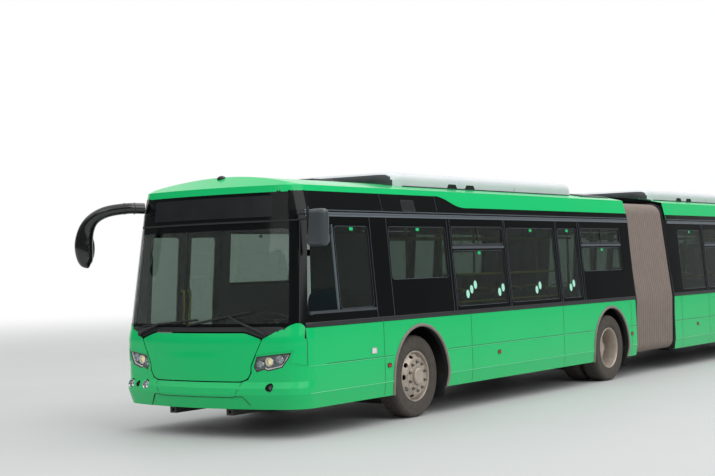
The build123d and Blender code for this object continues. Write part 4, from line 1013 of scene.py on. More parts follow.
class CITYBUS_OT_windows(bpy.types.Operator):
    """Black borders, sash frames, hopper bars, post strips and plain dots of the side windows"""
    bl_idname = "citybus.windows"
    bl_label = "Side Windows"

    def execute(self, context):
        border = context.scene.city_bus_looks.frit_width
        for section, left, right in SECTIONS:
            for side_name, side in SIDES:
                place = beside(side)
                rows = left if side > 0 else right
                trims = Form()
                for start, end, sill, hopper in rows:
                    self.pane(trims, place, start, end, sill, hopper, border)
                starts = [row[0] for row in rows]
                for row, following in zip(rows, starts[1:] + [0]):
                    if following and following - row[1] < 0.5:
                        for s in (row[1] + 0.012, following - 0.012):
                            trims.seam([(s, 1.210), (s, 2.322)], place, 0.006, 0.0025, 1, 0.4)
                trims.make(f"{section[:-8]}_window_frames_{side_name}",
                           ["black_paint", "aluminium", "rubber", "green_film"], section, "door")
        self.driver()
        self.dots()
        return {"FINISHED"}

    def pane(self, trims, place, start, end, sill, hopper, border):
        """One window: a border on the glass with round inner corners, and a hopper sash above its bar."""
        outer = [(start, sill), (end, sill), (end, WINDOW_HEAD), (start, WINDOW_HEAD)]
        lights = [(sill, hopper - 0.012), (hopper + 0.012, WINDOW_HEAD)] if hopper else [(sill, WINDOW_HEAD)]
        holes = [rounded(start + border, end - border, z0 + border, z1 - border, 0.045) for z0, z1 in lights]
        trims.sheet([outer] + holes, place, -0.0045, -0.008, 0.14)
        for hole in holes:
            trims.seam(turning(hole), place, 0.005, -0.0040, 1, 0.2, True)
        mid = (start + end) / 2
        if hopper:
            trims.sheet([rounded(start + 0.01, end - 0.01, hopper - 0.016, hopper + 0.016, 0.012)],
                        place, 0.001, -0.008, 0.2, 1)
            sash = rounded(start + 0.016, end - 0.016, hopper + 0.018, WINDOW_HEAD - 0.012, 0.03)
            trims.sheet([sash,
                         rounded(start + 0.034, end - 0.034, hopper + 0.036, WINDOW_HEAD - 0.030, 0.022)],
                        place, 0.000, -0.006, 0.2, 2)
            trims.sheet([rounded(mid - 0.012, mid + 0.012, hopper + 0.02, WINDOW_HEAD - 0.02, 0.008)],
                        place, -0.001, -0.006, 0.2, 2)
        trims.sheet([rounded(mid - 0.035, mid + 0.035, lights[0][1] - 0.075, lights[0][1] - 0.040, 0.004)],
                    place, -0.0040, None, 0.1, 3)

    def driver(self):
        """Driver's window: the standing frame of the opening and the sash slid back."""
        place = beside(1)
        (s0, z0), (s1, z1) = SCREEN_EDGE
        lean = (s1 - s0) / (z1 - z0)
        sill = 1.300
        low = s0 + (sill - z0) * lean + PILLAR
        sash = Form()
        start, end = FRONT_LEFT_WINDOWS[0][:2]
        sash.sweep([place(start, z, -0.016) for z in (sill + 0.02, 1.7, WINDOW_HEAD - 0.01)],
                   rounded(-0.009, 0.009, -0.012, 0.012, 0.004, 2), Vector((1, 0, 0)))
        sash.make("driver_sash_edge", "aluminium", FRONT, "aluminium")
        sill_bar = Form()
        path = [place(s, sill + 0.004, -0.020) for s in (low + 0.02, 0.75, 1.0, 1.3, end)]
        sill_bar.sweep(path,
                       [(-0.018, -0.02), (0.018, -0.02), (0.018, 0.016), (0.010, 0.022), (-0.018, 0.022)],
                       Vector((1, 0, 0)))
        sill_bar.make("driver_window_sill", "grey_plastic", FRONT, "aluminium")

    def dots(self):
        """Plain mint dots on the lower panes, against walking into the glass."""
        dots = Form()
        place = beside(1)
        for start, count in ((3.78, 3), (4.58, 2), (5.60, 2), (6.62, 2)):
            for i in range(count):
                dots.sheet([oval(start + 0.1 * i, 1.400 + 0.055 * i, 0.040, 0.052)], place, -0.0070, None,
                           0.05)
        dots.make("window_dots", "mint_film", FRONT, "door")


# ---------------------------------------------------------------- nose

# Outlines seen from ahead on the bus's left: x, z
FLAP_OUTLINE = ((0.580, 0.605), (0.660, 0.632), (0.700, 0.700), (0.700, 0.765), (0.745, 0.860),
                (0.838, 1.043),
                (0.635, 1.110))
LAMP_OUTLINE = ((0.775, 0.865), (1.143, 0.905), (1.115, 0.836), (1.053, 0.750), (0.893, 0.712),
                (0.855, 0.730), (0.770, 0.700), (0.738, 0.757))
# Bright guide along the headlamp's outer and lower edges: x, z
LAMP_GUIDE = ((1.128, 0.893), (1.098, 0.838), (1.040, 0.765), (0.893, 0.731), (0.862, 0.744))
# Round units of the headlamp: x, z, number of the lens finish, radius
LAMP_UNITS = ((0.812, 0.785, 3, 0.036), (0.912, 0.810, 4, 0.046), (1.024, 0.832, 3, 0.041))
# Fog lamps: x, radius, finish of the ring
FOG_LAMPS = ((-1.070, 0.050, "chrome"), (-0.930, 0.032, "black_plastic"), (-0.780, 0.050, "chrome"),
             (0.922, 0.042, "black_plastic"))
FOG_Z = 0.546


class CITYBUS_OT_nose(bpy.types.Operator):
    """Service flap, corner panels, windscreen border, sign surround and bumper lines"""
    bl_idname = "citybus.nose"
    bl_label = "Nose"

    def execute(self, context):
        flap = Form()
        outline_flap = softened(list(FLAP_OUTLINE) + [(-x, z) for x, z in reversed(FLAP_OUTLINE)], 0.03)

        def swage(x, z):
            """Crease across the flap: a shallow fold that fades towards its ends."""
            fade = max(0.0, 1 - (x / 0.50) ** 2)
            rise = 0.843 - z
            fold = math.exp(-abs(rise) / 0.045) if rise > 0 else math.exp(rise / 0.012)
            return 0.0115 * fade * fold
        flap.sheet([outline_flap], on_nose, swage, -0.006, 0.045)
        flap.make("service_flap_skin", "green_paint", "service_flap", "green_body", 40, ("service_flap",))

        for side_name, side in SIDES:
            panel = Form()
            top = [nose_point(0.861, 1.052), nose_point(1.012, 1.137), nose_point(1.122, 1.186),
                   nose_point(s=0.372, z=1.206), nose_point(s=0.405, z=1.202), nose_point(s=0.432, z=1.178),
                   nose_point(s=0.440, z=1.153)]
            low = [nose_point(s=0.436, z=0.764), nose_point(s=0.300, z=0.800), nose_point(1.162, 0.922),
                   nose_point(1.140, 0.926), nose_point(0.95, 0.909), nose_point(0.785, 0.886),
                   nose_point(0.768, 0.884),
                   nose_point(0.850, 1.046)]

            def swell(u, z):
                """Proud of the skin along the crease, and hollow between it and the hood's line."""
                hollow = math.exp(-((z - 0.985) / 0.06) ** 2) * min(max(u - 0.72, 0.0) / 0.3, 1.0)
                return 0.007 - 0.004 * hollow
            panel.sheet([mirrored(low + top, side)], round_nose, lambda u, z: swell(abs(u), z), -0.004, 0.05)
            panel.make(f"corner_panel_{side_name}", "green_paint", FRONT, "green_body")
            gap = Form()
            upright = [nose_point(s=0.443, z=z) for z in (1.150, 1.02, 0.89, 0.762)]
            gap.seam(mirrored(upright, side), round_nose, 0.006, 0.0012)
            gap.make(f"corner_gap_{side_name}", "black_plastic", FRONT, "green_body")

        # Windscreen: black printed border, wide at its sides, and the sun band over it
        z0, z1 = SCREEN_EDGE[0][1], SCREEN_EDGE[1][1]
        edge = [(corner_u(*along(*SCREEN_EDGE, t), NOSE_FORM), z0 + (z1 - z0) * t) for t in (0, 0.25, 0.5,
                                                                                             0.75, 1)]
        outer = edge + [(-u, z) for u, z in reversed(edge)]
        inner = [(u - 0.30, min(max(z, z0 + 0.055), z1 - 0.085)) for u, z in edge]
        inner += [(-u, z) for u, z in reversed(inner)]
        border = Form()
        border.sheet([outer, softened(inner, 0.06)], round_nose, -0.0025, -0.005, 0.07)
        border.make("windscreen_border", "black_paint", FRONT, "door")
        rubber = Form()
        rubber.seam(outer, round_nose, 0.014, 0.0015, 0, 0.05, True)
        rubber.make("windscreen_rubber", "rubber", FRONT, "black_plastic")

        # Blank sign: glass border round a matt display field
        sign = Form()
        u_out = end_u(SIGN_HALF, 2.43, NOSE_FORM)
        frame_loop = rounded(-SIGN_HALF + 0.004, SIGN_HALF - 0.004, z1 + 0.004, SIGN_HIGH - 0.002, 0.03)
        field = rounded(-0.80, 0.86, z1 + 0.045, SIGN_HIGH - 0.035, 0.02)
        sign.sheet([frame_loop, field], on_nose, -0.0012, -0.0045, 0.1)
        sign.sheet([field], on_nose, -0.0020, None, 0.1, 1)
        sign.make("sign_surround", ["black_paint", "sign_film"], FRONT, "sign_glass")
        bar = Form()
        points = [round_nose(u_out * i / 12, z1 - 0.008, 0.002) for i in range(-12, 13)]
        bar.sweep(points, rounded(-0.007, 0.007, -0.004, 0.006, 0.003, 2), Vector((0, -1, 0)))
        bar.make("sign_sill", "rubber", FRONT, "black_plastic")

        # Cowl between the flap and the windscreen
        cowl = Form()
        shape = [(-0.845, 1.060), (-0.64, 1.124), (0.64, 1.124), (0.845, 1.060), (0.93, 1.100), (1.10, 1.150),
                 (1.02, 1.172), (-1.02, 1.172), (-1.10, 1.150), (-0.93, 1.100)]

        def louvre(x, z):
            return 0.006 + 0.003 * math.sin((z - 1.10) * 2 * math.pi / 0.018) if z > 1.118 else 0.006
        cowl.sheet([softened(shape, 0.02)], on_nose, louvre, -0.004, 0.022)
        cowl.make("cowl", "black_plastic", FRONT, "black_plastic")

        lines = Form()
        for side in (1, -1):
            lines.seam([(side * 0.602, 0.596), (side * 0.566, 0.520), (side * 0.526, 0.447)], on_nose, 0.005,
                       0.0015)
        notch = [(-0.700, 0.350), (-0.620, 0.449), (-0.520, 0.449), (-0.505, 0.440), (0.505, 0.440),
                 (0.520, 0.449), (0.620, 0.449), (0.700, 0.350)]
        lines.seam(softened(notch, 0.012)[4:-4], on_nose, 0.007, 0.0015)
        lines.make("bumper_seams", "black_plastic", FRONT, "green_body")
        return {"FINISHED"}


class CITYBUS_OT_lamps(bpy.types.Operator):
    """Headlamps with their round units behind a clear cover, and the fog lamps"""
    bl_idname = "citybus.lamps"
    bl_label = "Front Lamps"

    def execute(self, context):
        ahead_way = Vector((0, -1, 0))
        for side_name, side in SIDES:
            shape = turning([(side * x, z) for x, z in LAMP_OUTLINE])
            inner = grown(shape, -0.013)
            lamp = Form()
            lamp.sheet([grown(shape, -0.001), inner], on_nose, -0.001, -0.050, 0.05)
            lamp.sheet([shape], on_nose, -0.050, None, 0.05, 1)
            guide = [on_nose(side * x, z, -0.020) for x, z in LAMP_GUIDE]
            lamp.tube(smooth_path(guide, 6), 0.0085, 5, 8)
            for x, z, lens, size in LAMP_UNITS:
                centre = on_nose(side * x, z, -0.046)
                lamp.turn([(0.0, size * 0.5), (0.006, size * 0.86), (0.022, size), (0.030, size * 1.06),
                           (0.026, size * 1.12), (0.0, size * 1.14)], centre, ahead_way, 2, 32)
                lamp.turn([(0.004, 0.0), (0.016, size * 0.28), (0.012, size * 0.62), (0.002, size * 0.80)],
                          centre, ahead_way, lens, 32)
            lamp.make(f"headlamp_{side_name}",
                      ["gloss_plastic", "gloss_plastic", "chrome", "projector", "warm_lens", "white_lens"],
                      FRONT,
                      "lamp", 40, ("headlamps",) if side > 0 else ())
            cover = Form()
            cover.sheet([inner], on_nose, -0.002, -0.006, 0.05)
            cover.make(f"headlamp_cover_{side_name}", "lens", FRONT, "lamp")
        for i, (x, r, ring) in enumerate(FOG_LAMPS):
            fog = Form()
            centre = on_nose(x, FOG_Z, -0.020)
            fog.turn([(-0.03, r * 0.98), (0.020, r * 0.98), (0.024, r * 0.92), (0.016, r * 0.80),
                      (-0.012, r * 0.74),
                      (-0.022, r * 0.5)], centre, ahead_way, 0, 40)
            fog.turn([(0.006, 0.0), (0.002, r * 0.4), (-0.010, r * 0.74)], centre, ahead_way, 1, 40)
            fog.turn([(-0.022, 0.0), (-0.022, r * 0.76)], centre, ahead_way, 2, 40)
            fog.make(f"fog_lamp_{i + 1}", [ring, "lens", "chrome"], FRONT, "lamp")
        return {"FINISHED"}


class CITYBUS_OT_wipers(bpy.types.Operator):
    """Two wipers: spindle, arm and a long blade on the windscreen"""
    bl_idname = "citybus.wipers"
    bl_label = "Wipers"

    def execute(self, context):
        blade = [(-0.012, 0.0), (-0.002, -0.009), (0.002, -0.009), (0.012, 0.0), (0.008, 0.014),
                 (-0.008, 0.014)]
        for name, pivot, elbow, low, high, replaces in (
                ("left", (0.872, 1.088), (0.435, 1.285), (0.700, 1.330), (-0.120, 1.190), ("wipers",)),
                ("right", (-0.900, 1.090), (-0.560, 1.204), (-0.860, 1.180), (0.020, 1.250), ())):
            wiper = Form()
            wiper.turn([(-0.01, 0.022), (0.020, 0.022), (0.028, 0.016), (0.030, 0.0)], on_nose(*pivot, 0.004),
                       (0, -1, 0), 0, 24)
            arm = [on_nose(*along(pivot, elbow, i / 8),
                           0.024 + 0.012 * math.sin(i / 8 * math.pi)) for i in range(9)]
            wiper.tube(arm, [0.019 - 0.009 * i / 8 for i in range(9)], 0, 10)
            wiper.sweep([on_nose(*along(low, high, i / 16), 0.008) for i in range(17)], blade,
                        Vector((0, -1, 0.25)), 1)
            wiper.make(f"wiper_{name}", ["black_plastic", "rubber"], FRONT, "black_plastic", 35, replaces)
        return {"FINISHED"}


# Right mirror from its foot to its tip: x, distance from the nose, z, radius
MIRROR_ARM = ((-1.02, 0.46, 2.500, 0.062), (-1.13, 0.30, 2.502, 0.062), (-1.28, 0.13, 2.470, 0.064),
              (-1.42, 0.06, 2.395, 0.070), (-1.515, 0.04, 2.280, 0.088), (-1.552, 0.03, 2.130, 0.104),
              (-1.548, 0.03, 2.000, 0.100), (-1.525, 0.03, 1.900, 0.074), (-1.500, 0.035, 1.845, 0.014))


class CITYBUS_OT_mirrors(bpy.types.Operator):
    """Arched right mirror arm with its long head, and the left mirror on its pegs"""
    bl_idname = "citybus.mirrors"
    bl_label = "Mirrors"

    def execute(self, context):
        arm = Form()
        path = smooth_path([at(*row[:3]) for row in MIRROR_ARM], 10)
        radii = [p.x for p in smooth_path([(row[3], 0, 0) for row in MIRROR_ARM], 10)]
        arm.tube(path, radii, 0, 36)
        arm.make("right_mirror", "gloss_plastic", FRONT, "black_plastic", 80, ("mirrors",))
        face = Form()
        face.sheet([oval(0, 0, 0.066, 0.150, 40)], flat(at(-1.543, 0.116, 2.07), (-1, 0, 0), (0, 0, 1)),
                   0.006,
                   -0.05, 0.05)
        face.make("right_mirror_glass", "mirror_glass", FRONT, "black_plastic")
        collar = Form()
        r = 0.066
        for spot, way in (((-1.085, 0.365, 2.502), (-0.55, -0.83, 0.0)),
                          ((-1.150, 0.275, 2.500), (-0.62, -0.78, -0.05))):
            collar.turn([(-0.006, r * 0.9), (-0.005, r), (0.005, r), (0.006, r * 0.9)], at(*spot), way, 0, 32)
        collar.make("right_mirror_collars", "black_plastic", FRONT, "black_plastic")

        box = Form()
        box.block((1.305, 0.375, 1.998), (1.555, 0.500, 2.388), 0.055, 0, 8)
        # The upper half is drawn in on its inner side
        for i, (x, y, z) in enumerate(box.verts):
            waist = min(max((z - 2.10) / 0.12, 0.0), 1.0)
            waist = waist * waist * (3 - 2 * waist) * max(1.43 - x, 0.0) / 0.125
            box.verts[i] = (x + 0.034 * waist, y, z)
        box.make("left_mirror", "grey_plastic", FRONT, "black_plastic", 60)
        glass = Form()
        glass.sheet([rounded(-0.100, 0.100, -0.165, 0.165, 0.03)],
                    flat(at(1.430, 0.500, 2.193), (-1, 0, 0), (0, 0, 1)), 0.002, -0.01, 0.1)
        glass.make("left_mirror_glass", "mirror_glass", FRONT, "black_plastic")
        pegs = Form()
        for z in (2.290, 2.345):
            pegs.tube([at(1.150, 0.470, z), at(1.320, 0.445, z)], 0.012, 0, 14)
        pegs.tube([at(1.300, 0.440, 2.270), at(1.300, 0.440, 2.420)], 0.014, 0, 14)
        pegs.make("left_mirror_pegs", "black_plastic", FRONT, "black_plastic")
        return {"FINISHED"}


# Half of the rim's barrel from its middle out, then back along the inside: across, radius
BARREL_OUTSIDE = ((0.04, 0.268), (0.105, 0.286), (0.109, 0.295), (0.116, 0.2965), (0.1205, 0.292),
                  (0.120, 0.284))
BARREL_INSIDE = ((0.108, 0.276), (0.100, 0.274), (0.03, 0.262))
# Washer, six-sided nut and bolt end: (out from the disc, radius) points and number of sides
STUD = (
    (((0.0, 0.021), (0.003, 0.021), (0.003, 0.0)), 20),
    (((0.0, 0.0175), (0.019, 0.0175), (0.022, 0.0145), (0.022, 0.0)), 6),
    (((0.020, 0.0095), (0.033, 0.0095), (0.036, 0.007), (0.036, 0.0)), 12),
)
# Hub covers: out from the wheel's middle, radius
FRONT_HUB = ((0.140, 0.101), (0.168, 0.098), (0.176, 0.090), (0.180, 0.078), (0.177, 0.072), (0.181, 0.052),
             (0.183, 0.0))
TWIN_HUB = ((-0.150, 0.112), (-0.040, 0.110), (-0.030, 0.104), (-0.010, 0.080), (0.010, 0.074),
            (0.014, 0.066),
            (0.015, 0.0))
# ---------------------------------------------------------------- wheels

# Tyre section from the middle of the tread to the bead: across, radius
TREAD = ((0.005, 0.4675), (0.007, 0.4785), (0.036, 0.4785), (0.038, 0.4675), (0.047, 0.4675), (0.049, 0.4785),
         (0.090, 0.4780), (0.103, 0.4750), (0.116, 0.4670), (0.127, 0.4550), (0.1335, 0.4350),
         (0.1325, 0.4330),
         (0.1365, 0.4000), (0.1350, 0.3600), (0.1290, 0.3310), (0.1265, 0.3300), (0.1180, 0.3080),
         (0.1120, 0.2980),
         (0.1000, 0.2870))


def tyre(form, centre, mark=0):
    """Tyre with ribs, notched shoulders and rings on its sidewalls."""
    profile = [(-a, r) for a, r in reversed(TREAD)] + list(TREAD)
    parts, every, deep = 128, 4, 0.007
    verts = []
    for j in range(parts):
        angle = math.tau * j / parts
        notch = deep if j % every == 0 else 0.0
        for across, radius in profile:
            depth = notch if 0.088 < abs(across) < 0.126 and radius > 0.45 else 0.0
            verts.append(centre + Vector((across, (radius - depth) * math.cos(angle),
                                          (radius - depth) * math.sin(angle))))
    form.add(verts, web(parts, len(profile), True, False), mark)


def wheel_rim(form, centre, side, face, count, dish):
    """Rim: rolled barrel, pressed disc with oval hand holes, flange, studs and nuts."""
    axis = Vector((side, 0, 0))
    barrel = [(-a, r) for a, r in reversed(BARREL_OUTSIDE)] + list(BARREL_OUTSIDE + BARREL_INSIDE)
    barrel += [(-a, r) for a, r in reversed(BARREL_INSIDE)]
    form.turn(barrel, centre, axis, 0, 72, True)
    reference = 0.237
    half = math.pi / count * reference

    def out(arc, radius):
        """Face of the disc: flat flange, then a smooth slope to the barrel."""
        t = min(max((radius - 0.204) / 0.062, 0.0), 1.0)
        return face + (dish - face) * t * t * (3 - 2 * t) * 0.9
    hole = oval(0, 0.236, half * 0.42, 0.0175, 20)
    sector = [(-half, 0.100), (half, 0.100), (half, 0.266), (-half, 0.266)]
    for i in range(count):
        place = wheel_place(centre, side, reference, math.tau * i / count)
        form.sheet([sector, hole], place, out, None, 0.022)
        lip = [place(a, r, out(a, r) - sunk) for sunk in (0.0, 0.003, 0.014) for a, r in hole]
        form.add(lip, web(3, len(hole)))
        stud = wheel_place(centre, side, reference, math.tau * (i + 0.5) / count)(0, 0.1675, 0)
        for profile, sides in STUD:
            form.turn([(face + a, r) for a, r in profile], stud, axis, 1, sides)
    # Raised ring of the flange and the step round the hub
    form.turn([(face - 0.004, 0.206), (face + 0.004, 0.203), (face + 0.006, 0.196), (face + 0.001, 0.192)],
              centre, axis, 0, 72)
    form.turn([(face, 0.142), (face + 0.005, 0.138), (face + 0.005, 0.112), (face, 0.106)], centre, axis, 0,
              64)


class CITYBUS_OT_wheels(bpy.types.Operator):
    """Tyres, pressed rims with studs, and hubs of the front and twin wheels"""
    bl_idname = "citybus.wheels"
    bl_label = "Wheels"

    def execute(self, context):
        count = context.scene.city_bus_looks.studs
        for side_name, side in SIDES:
            axis = (side, 0, 0)
            centre = at(side * 1.055, AXLES["front"], AXLE_Z)
            rubber, steel = Form(), Form()
            tyre(rubber, centre)
            wheel_rim(steel, centre, side, 0.140, count, 0.080)
            steel.turn(FRONT_HUB, centre, axis, 0, 64)
            self.finished(rubber, steel, f"front_{side_name}", "")
            for place in ("middle", "rear"):
                outer, inner = (at(side * x, AXLES[place], AXLE_Z) for x in (1.100, 0.770))
                rubber, steel = Form(), Form()
                tyre(rubber, outer)
                tyre(rubber, inner)
                wheel_rim(steel, outer, side, -0.150, count, -0.085)
                wheel_rim(steel, inner, side, 0.163, count, 0.085)
                steel.turn(TWIN_HUB, outer, axis, 0, 56)
                steel.turn([(-0.042, 0.118), (-0.034, 0.118), (-0.032, 0.108)], outer, axis, 1, 56)
                self.finished(rubber, steel, f"{place}_{side_name}", "s")
        return {"FINISHED"}

    def finished(self, rubber, steel, start, plural):
        """Tyres and discs of one wheel body, in place of its nodes."""
        body = f"{start}_wheel{plural}"
        rubber.make(f"{start}_tyre_tread{plural}", "tyre", body, "tyre", 38, (f"{start}_tyre{plural}",))
        steel.make(f"{start}_wheel_disc{plural}", ["wheel_paint", "zinc"], body, "wheel_steel", 32,
                   (f"{start}_rim{plural}",), 0.0004)


# ---------------------------------------------------------------- joint


def bellows_outline(inset):
    """Open outline of the bellows, from its left foot over the top to the right one: x, z."""
    low, high = 0.335 + inset, 2.640 - inset
    foot, mid, top = (half_at(z) - 0.008 - inset for z in (0.312, BELT, 2.640))
    rc, rf = 0.19 - inset, 0.13 - inset
    points = [(1.060, low)]
    for i in range(9):
        angle = math.radians(-90 + 90 * i / 8)
        points.append((foot - rf + rf * math.cos(angle), low + rf + rf * math.sin(angle)))
    points += [along((foot, low + rf), (mid, BELT), i / 8) for i in range(1, 9)]
    points += [along((mid, BELT), (top, high - rc), i / 12) for i in range(1, 13)]
    for i in range(1, 11):
        angle = math.radians(90 * i / 10)
        points.append((top - rc + rc * math.cos(angle), high - rc + rc * math.sin(angle)))
    points += [((top - rc) * (1 - i / 8), high) for i in range(1, 9)]
    return points + [(-x, z) for x, z in reversed(points[:-1])]


class CITYBUS_OT_bellows(bpy.types.Operator):
    """Pleated fabric between the sections, with the frames that hold its ends"""
    bl_idname = "citybus.bellows"
    bl_label = "Bellows"

    def execute(self, context):
        steps, depth = 6, 0.052
        count = context.scene.city_bus_looks.pleats * steps
        start, end = FRONT_END + 0.020, REAR_START - 0.020
        size = len(bellows_outline(0.0))
        cloth = Form()
        for skin in (0.0, 0.004):
            verts = []
            for i in range(count + 1):
                inset = depth * (1 - abs(math.sin(math.pi * i / steps)) ** 0.6) + skin
                y = start + (end - start) * i / count
                verts += [(x, y, z) for x, z in bellows_outline(inset)]
            faces = web(count + 1, size, False, False)
            cloth.add(verts, faces if skin else [face[::-1] for face in faces])
        fabric = cloth.make("bellows_fabric", "bellows", None, "bellows", 180, ("bellows",))
        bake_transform(fabric)
        for section, y, way in (("front", FRONT_END, 1), ("rear", REAR_START, -1)):
            hoop = Form()
            path = [(x, y + way * 0.010, z) for x, z in bellows_outline(0.010)]
            hoop.sweep(path, rounded(-0.030, 0.012, -0.012, 0.012, 0.005, 2), Vector((0, 1, 0)))
            hoop.make(f"{section}_bellows_frame", "black_plastic", f"{section}_section", "black_plastic")
        return {"FINISHED"}


# ---------------------------------------------------------------- roof

POD_HALF = 0.800
POD_TOP = 2.905
# Pods on the roof: section, start, end, starts of the side vents, all from the nose
PODS = (("front", 2.780, 7.750, (4.080, 4.530)), ("rear", 10.380, 14.600, (11.600, 12.050)))
# Length, foot and head of a vent
VENT = (0.255, 2.738, 2.788)
CROWN = 2.800
# Radius of the crown's arch, to the millimetre
CROWN_RADIUS = 4.485
# How far the roof's cap slopes back from the roof edge to its crown at the nose
CAP_SETBACK = 0.320
# The aerial's distance from the nose
AERIAL_S = 0.62


def crown_z(x):
    """Height of the curved roof at an x."""
    half, rise = LEVELS[-1][1], CROWN - ROOF_EDGE
    radius = (half ** 2 + rise ** 2) / (2 * rise)
    return CROWN - radius + math.sqrt(max(radius ** 2 - x * x, 0.0))


def make_cap():
    """Curved cap of the front roof, sloped at the nose, standing on the node's flat top."""
    cap = Form()
    foot, columns = ROOF_EDGE - 0.004, 64
    rows = [[], [], [], [], []]
    for i in range(columns + 1):
        u = 4 * i / columns - 2
        x, y = outline(abs(u), len(LEVELS) - 1, NOSE_FORM)
        x = math.copysign(x, u)
        top = max(crown_z(x), ROOF_EDGE + 0.0005)
        slope = CAP_SETBACK * (top - ROOF_EDGE) / (CROWN - ROOF_EDGE)
        points = ((x, y, foot), (x, y, ROOF_EDGE), (x, y + slope, top), (x, FRONT_END, top),
                  (x, FRONT_END, foot))
        for row, point in zip(rows, points):
            row.append(point)
    for row, following, mark in zip(rows, rows[1:], (0, 0, 0, 1)):
        cap.add(row + following, web(2, columns + 1, False, False), mark)
    cap.make("front_roof_cap", ["roof_paint", "black_paint"], FRONT, "roof_paint", 16, welded=0.0002)


class CITYBUS_OT_roof(bpy.types.Operator):
    """Finishes, vents and seams of the roof covers, hatches, dark mat and the blank side sign"""
    bl_idname = "citybus.roof"
    bl_label = "Roof Gear"

    def execute(self, context):
        make_cap()
        for pod in PODS:
            self.pod(*pod)
        # Hatches with a rim, and a low dark mat between the pod and the joint
        for section, s, half in (("front", 2.24, 0.26), ("rear", 15.80, 0.36), ("rear", 17.00, 0.36)):
            hatch = Form()
            for inset, low, high, edge in ((0.0, 2.762, 2.808, 0.02), (0.05, 2.800, 2.826, 0.018)):
                reach = half - inset
                hatch.block((-reach, s - reach, low), (reach, s + reach, high), edge, 0, 3)
            for x in (0.22, -0.22):
                hatch.block((x - 0.03, s - half - 0.018, 2.775), (x + 0.03, s - half + 0.01, 2.800), 0.006, 1)
            hatch.make(f"{section}_roof_hatch_{int(s)}", ["gear_paint", "black_plastic"],
                       f"{section}_section", "pod")
        slat = [(-0.092, -0.010), (0.092, -0.010), (0.092, 0.004), (0.082, 0.012), (-0.082, 0.012),
                (-0.092, 0.004)]
        for section, start, end in (("front", 7.790, 8.700), ("rear", 10.290, 10.340)):
            mat = Form()
            for i in range(9):
                x = -0.80 + 0.20 * i
                mat.sweep([at(x, s, crown_z(x) + 0.002) for s in (start, end)], slat,
                          Vector((x / CROWN_RADIUS, 0, 1)))
            mat.make(f"{section}_roof_duct", "gear_paint", f"{section}_section", "black_plastic")
        top = ROOF_EDGE + (CROWN - ROOF_EDGE) * (AERIAL_S - LEVELS[-1][2]) / CAP_SETBACK
        aerial = Form()
        aerial.turn([(-0.02, 0.052), (0.006, 0.050), (0.022, 0.036), (0.031, 0.014), (0.032, 0.0)],
                    at(0.0, AERIAL_S, top - 0.003), (0, 0, 1), 0, 24)
        aerial.make("roof_aerial", "black_plastic", FRONT, "black_plastic")

        # Blank side sign in the cove, with upright seams beside it
        for side_name, side in SIDES:
            place = beside(side)
            sign = Form()
            outer = rounded(2.458, 2.743, 2.400, 2.536, 0.012)
            field = rounded(2.474, 2.727, 2.414, 2.522, 0.008)
            sign.sheet([outer, field], place, 0.0050, 0.0010, 0.1)
            sign.sheet([field], place, 0.0035, None, 0.1, 1)
            for s in (2.040, 3.230):
                sign.seam([(s, 2.400), (s, 2.590)], place, 0.004, 0.0032, 2, 0.1)
            sign.make(f"side_sign_{side_name}", ["rubber", "sign_film", "aluminium"], FRONT, "sign_glass")
        return {"FINISHED"}

    def pod(self, section, start, end, vents):
        """Louvred vents, rubber foot and joint lines of one roof cover."""
        body = f"{section}_section"
        length, low, high = VENT
        up = Vector((0, 0, 1))

        def pod_rule(centre, normal):
            s = centre.y - NOSE
            cut = any(v - 0.01 < s < v + length + 0.01 for v in vents) and low - 0.01 < centre.z < high + 0.01
            # Faces looking forward take the dark gear paint as painted shade
            shaded_front = normal.y < -0.6 and abs(normal.z) < 0.75
            return 1 if shaded_front or cut and abs(centre.x) < POD_HALF - 0.001 else 0
        paint_node(f"{section}_roof_pod", ["gelcoat", "gear_paint"], pod_rule)
        trim = Form()
        for side in (1, -1):
            for v in vents:
                for i in range(4):
                    z = low + 0.010 + 0.011 * i
                    slant = 0.040 * (z - low) / (high - low) + 0.008
                    trim.block((side * (POD_HALF - 0.012), v + slant, z - 0.0015),
                               (side * (POD_HALF - 0.003), v + length - slant, z + 0.0015), 0.001)
            foot = [at(side * (POD_HALF + 0.012), start + 0.25 + (end - start - 0.5) * i / 10,
                       crown_z(POD_HALF) + 0.003) for i in range(11)]
            trim.sweep(foot, rounded(-0.012, 0.012, -0.004, 0.006, 0.003, 2), up)
        trim.make(f"{section}_pod_louvres", "gear_paint", body, "black_plastic")
        joints = Form()
        strip = [(-0.004, -0.002), (0.004, -0.002), (0.004, 0.0), (-0.004, 0.0)]
        for t in (0.30, 0.62):
            s = start + (end - start) * t
            joints.sweep([at(x, s, POD_TOP + 0.0006) for x in (-0.69, 0.69)], strip, up)
            for side in (1, -1):
                joints.sweep([at(side * (POD_HALF + 0.0006), s, z) for z in (2.735, 2.795)], strip,
                             Vector((side, 0, 0)))
        joints.make(f"{section}_pod_joints", "gear_paint", body, "pod")


# ---------------------------------------------------------------- doors


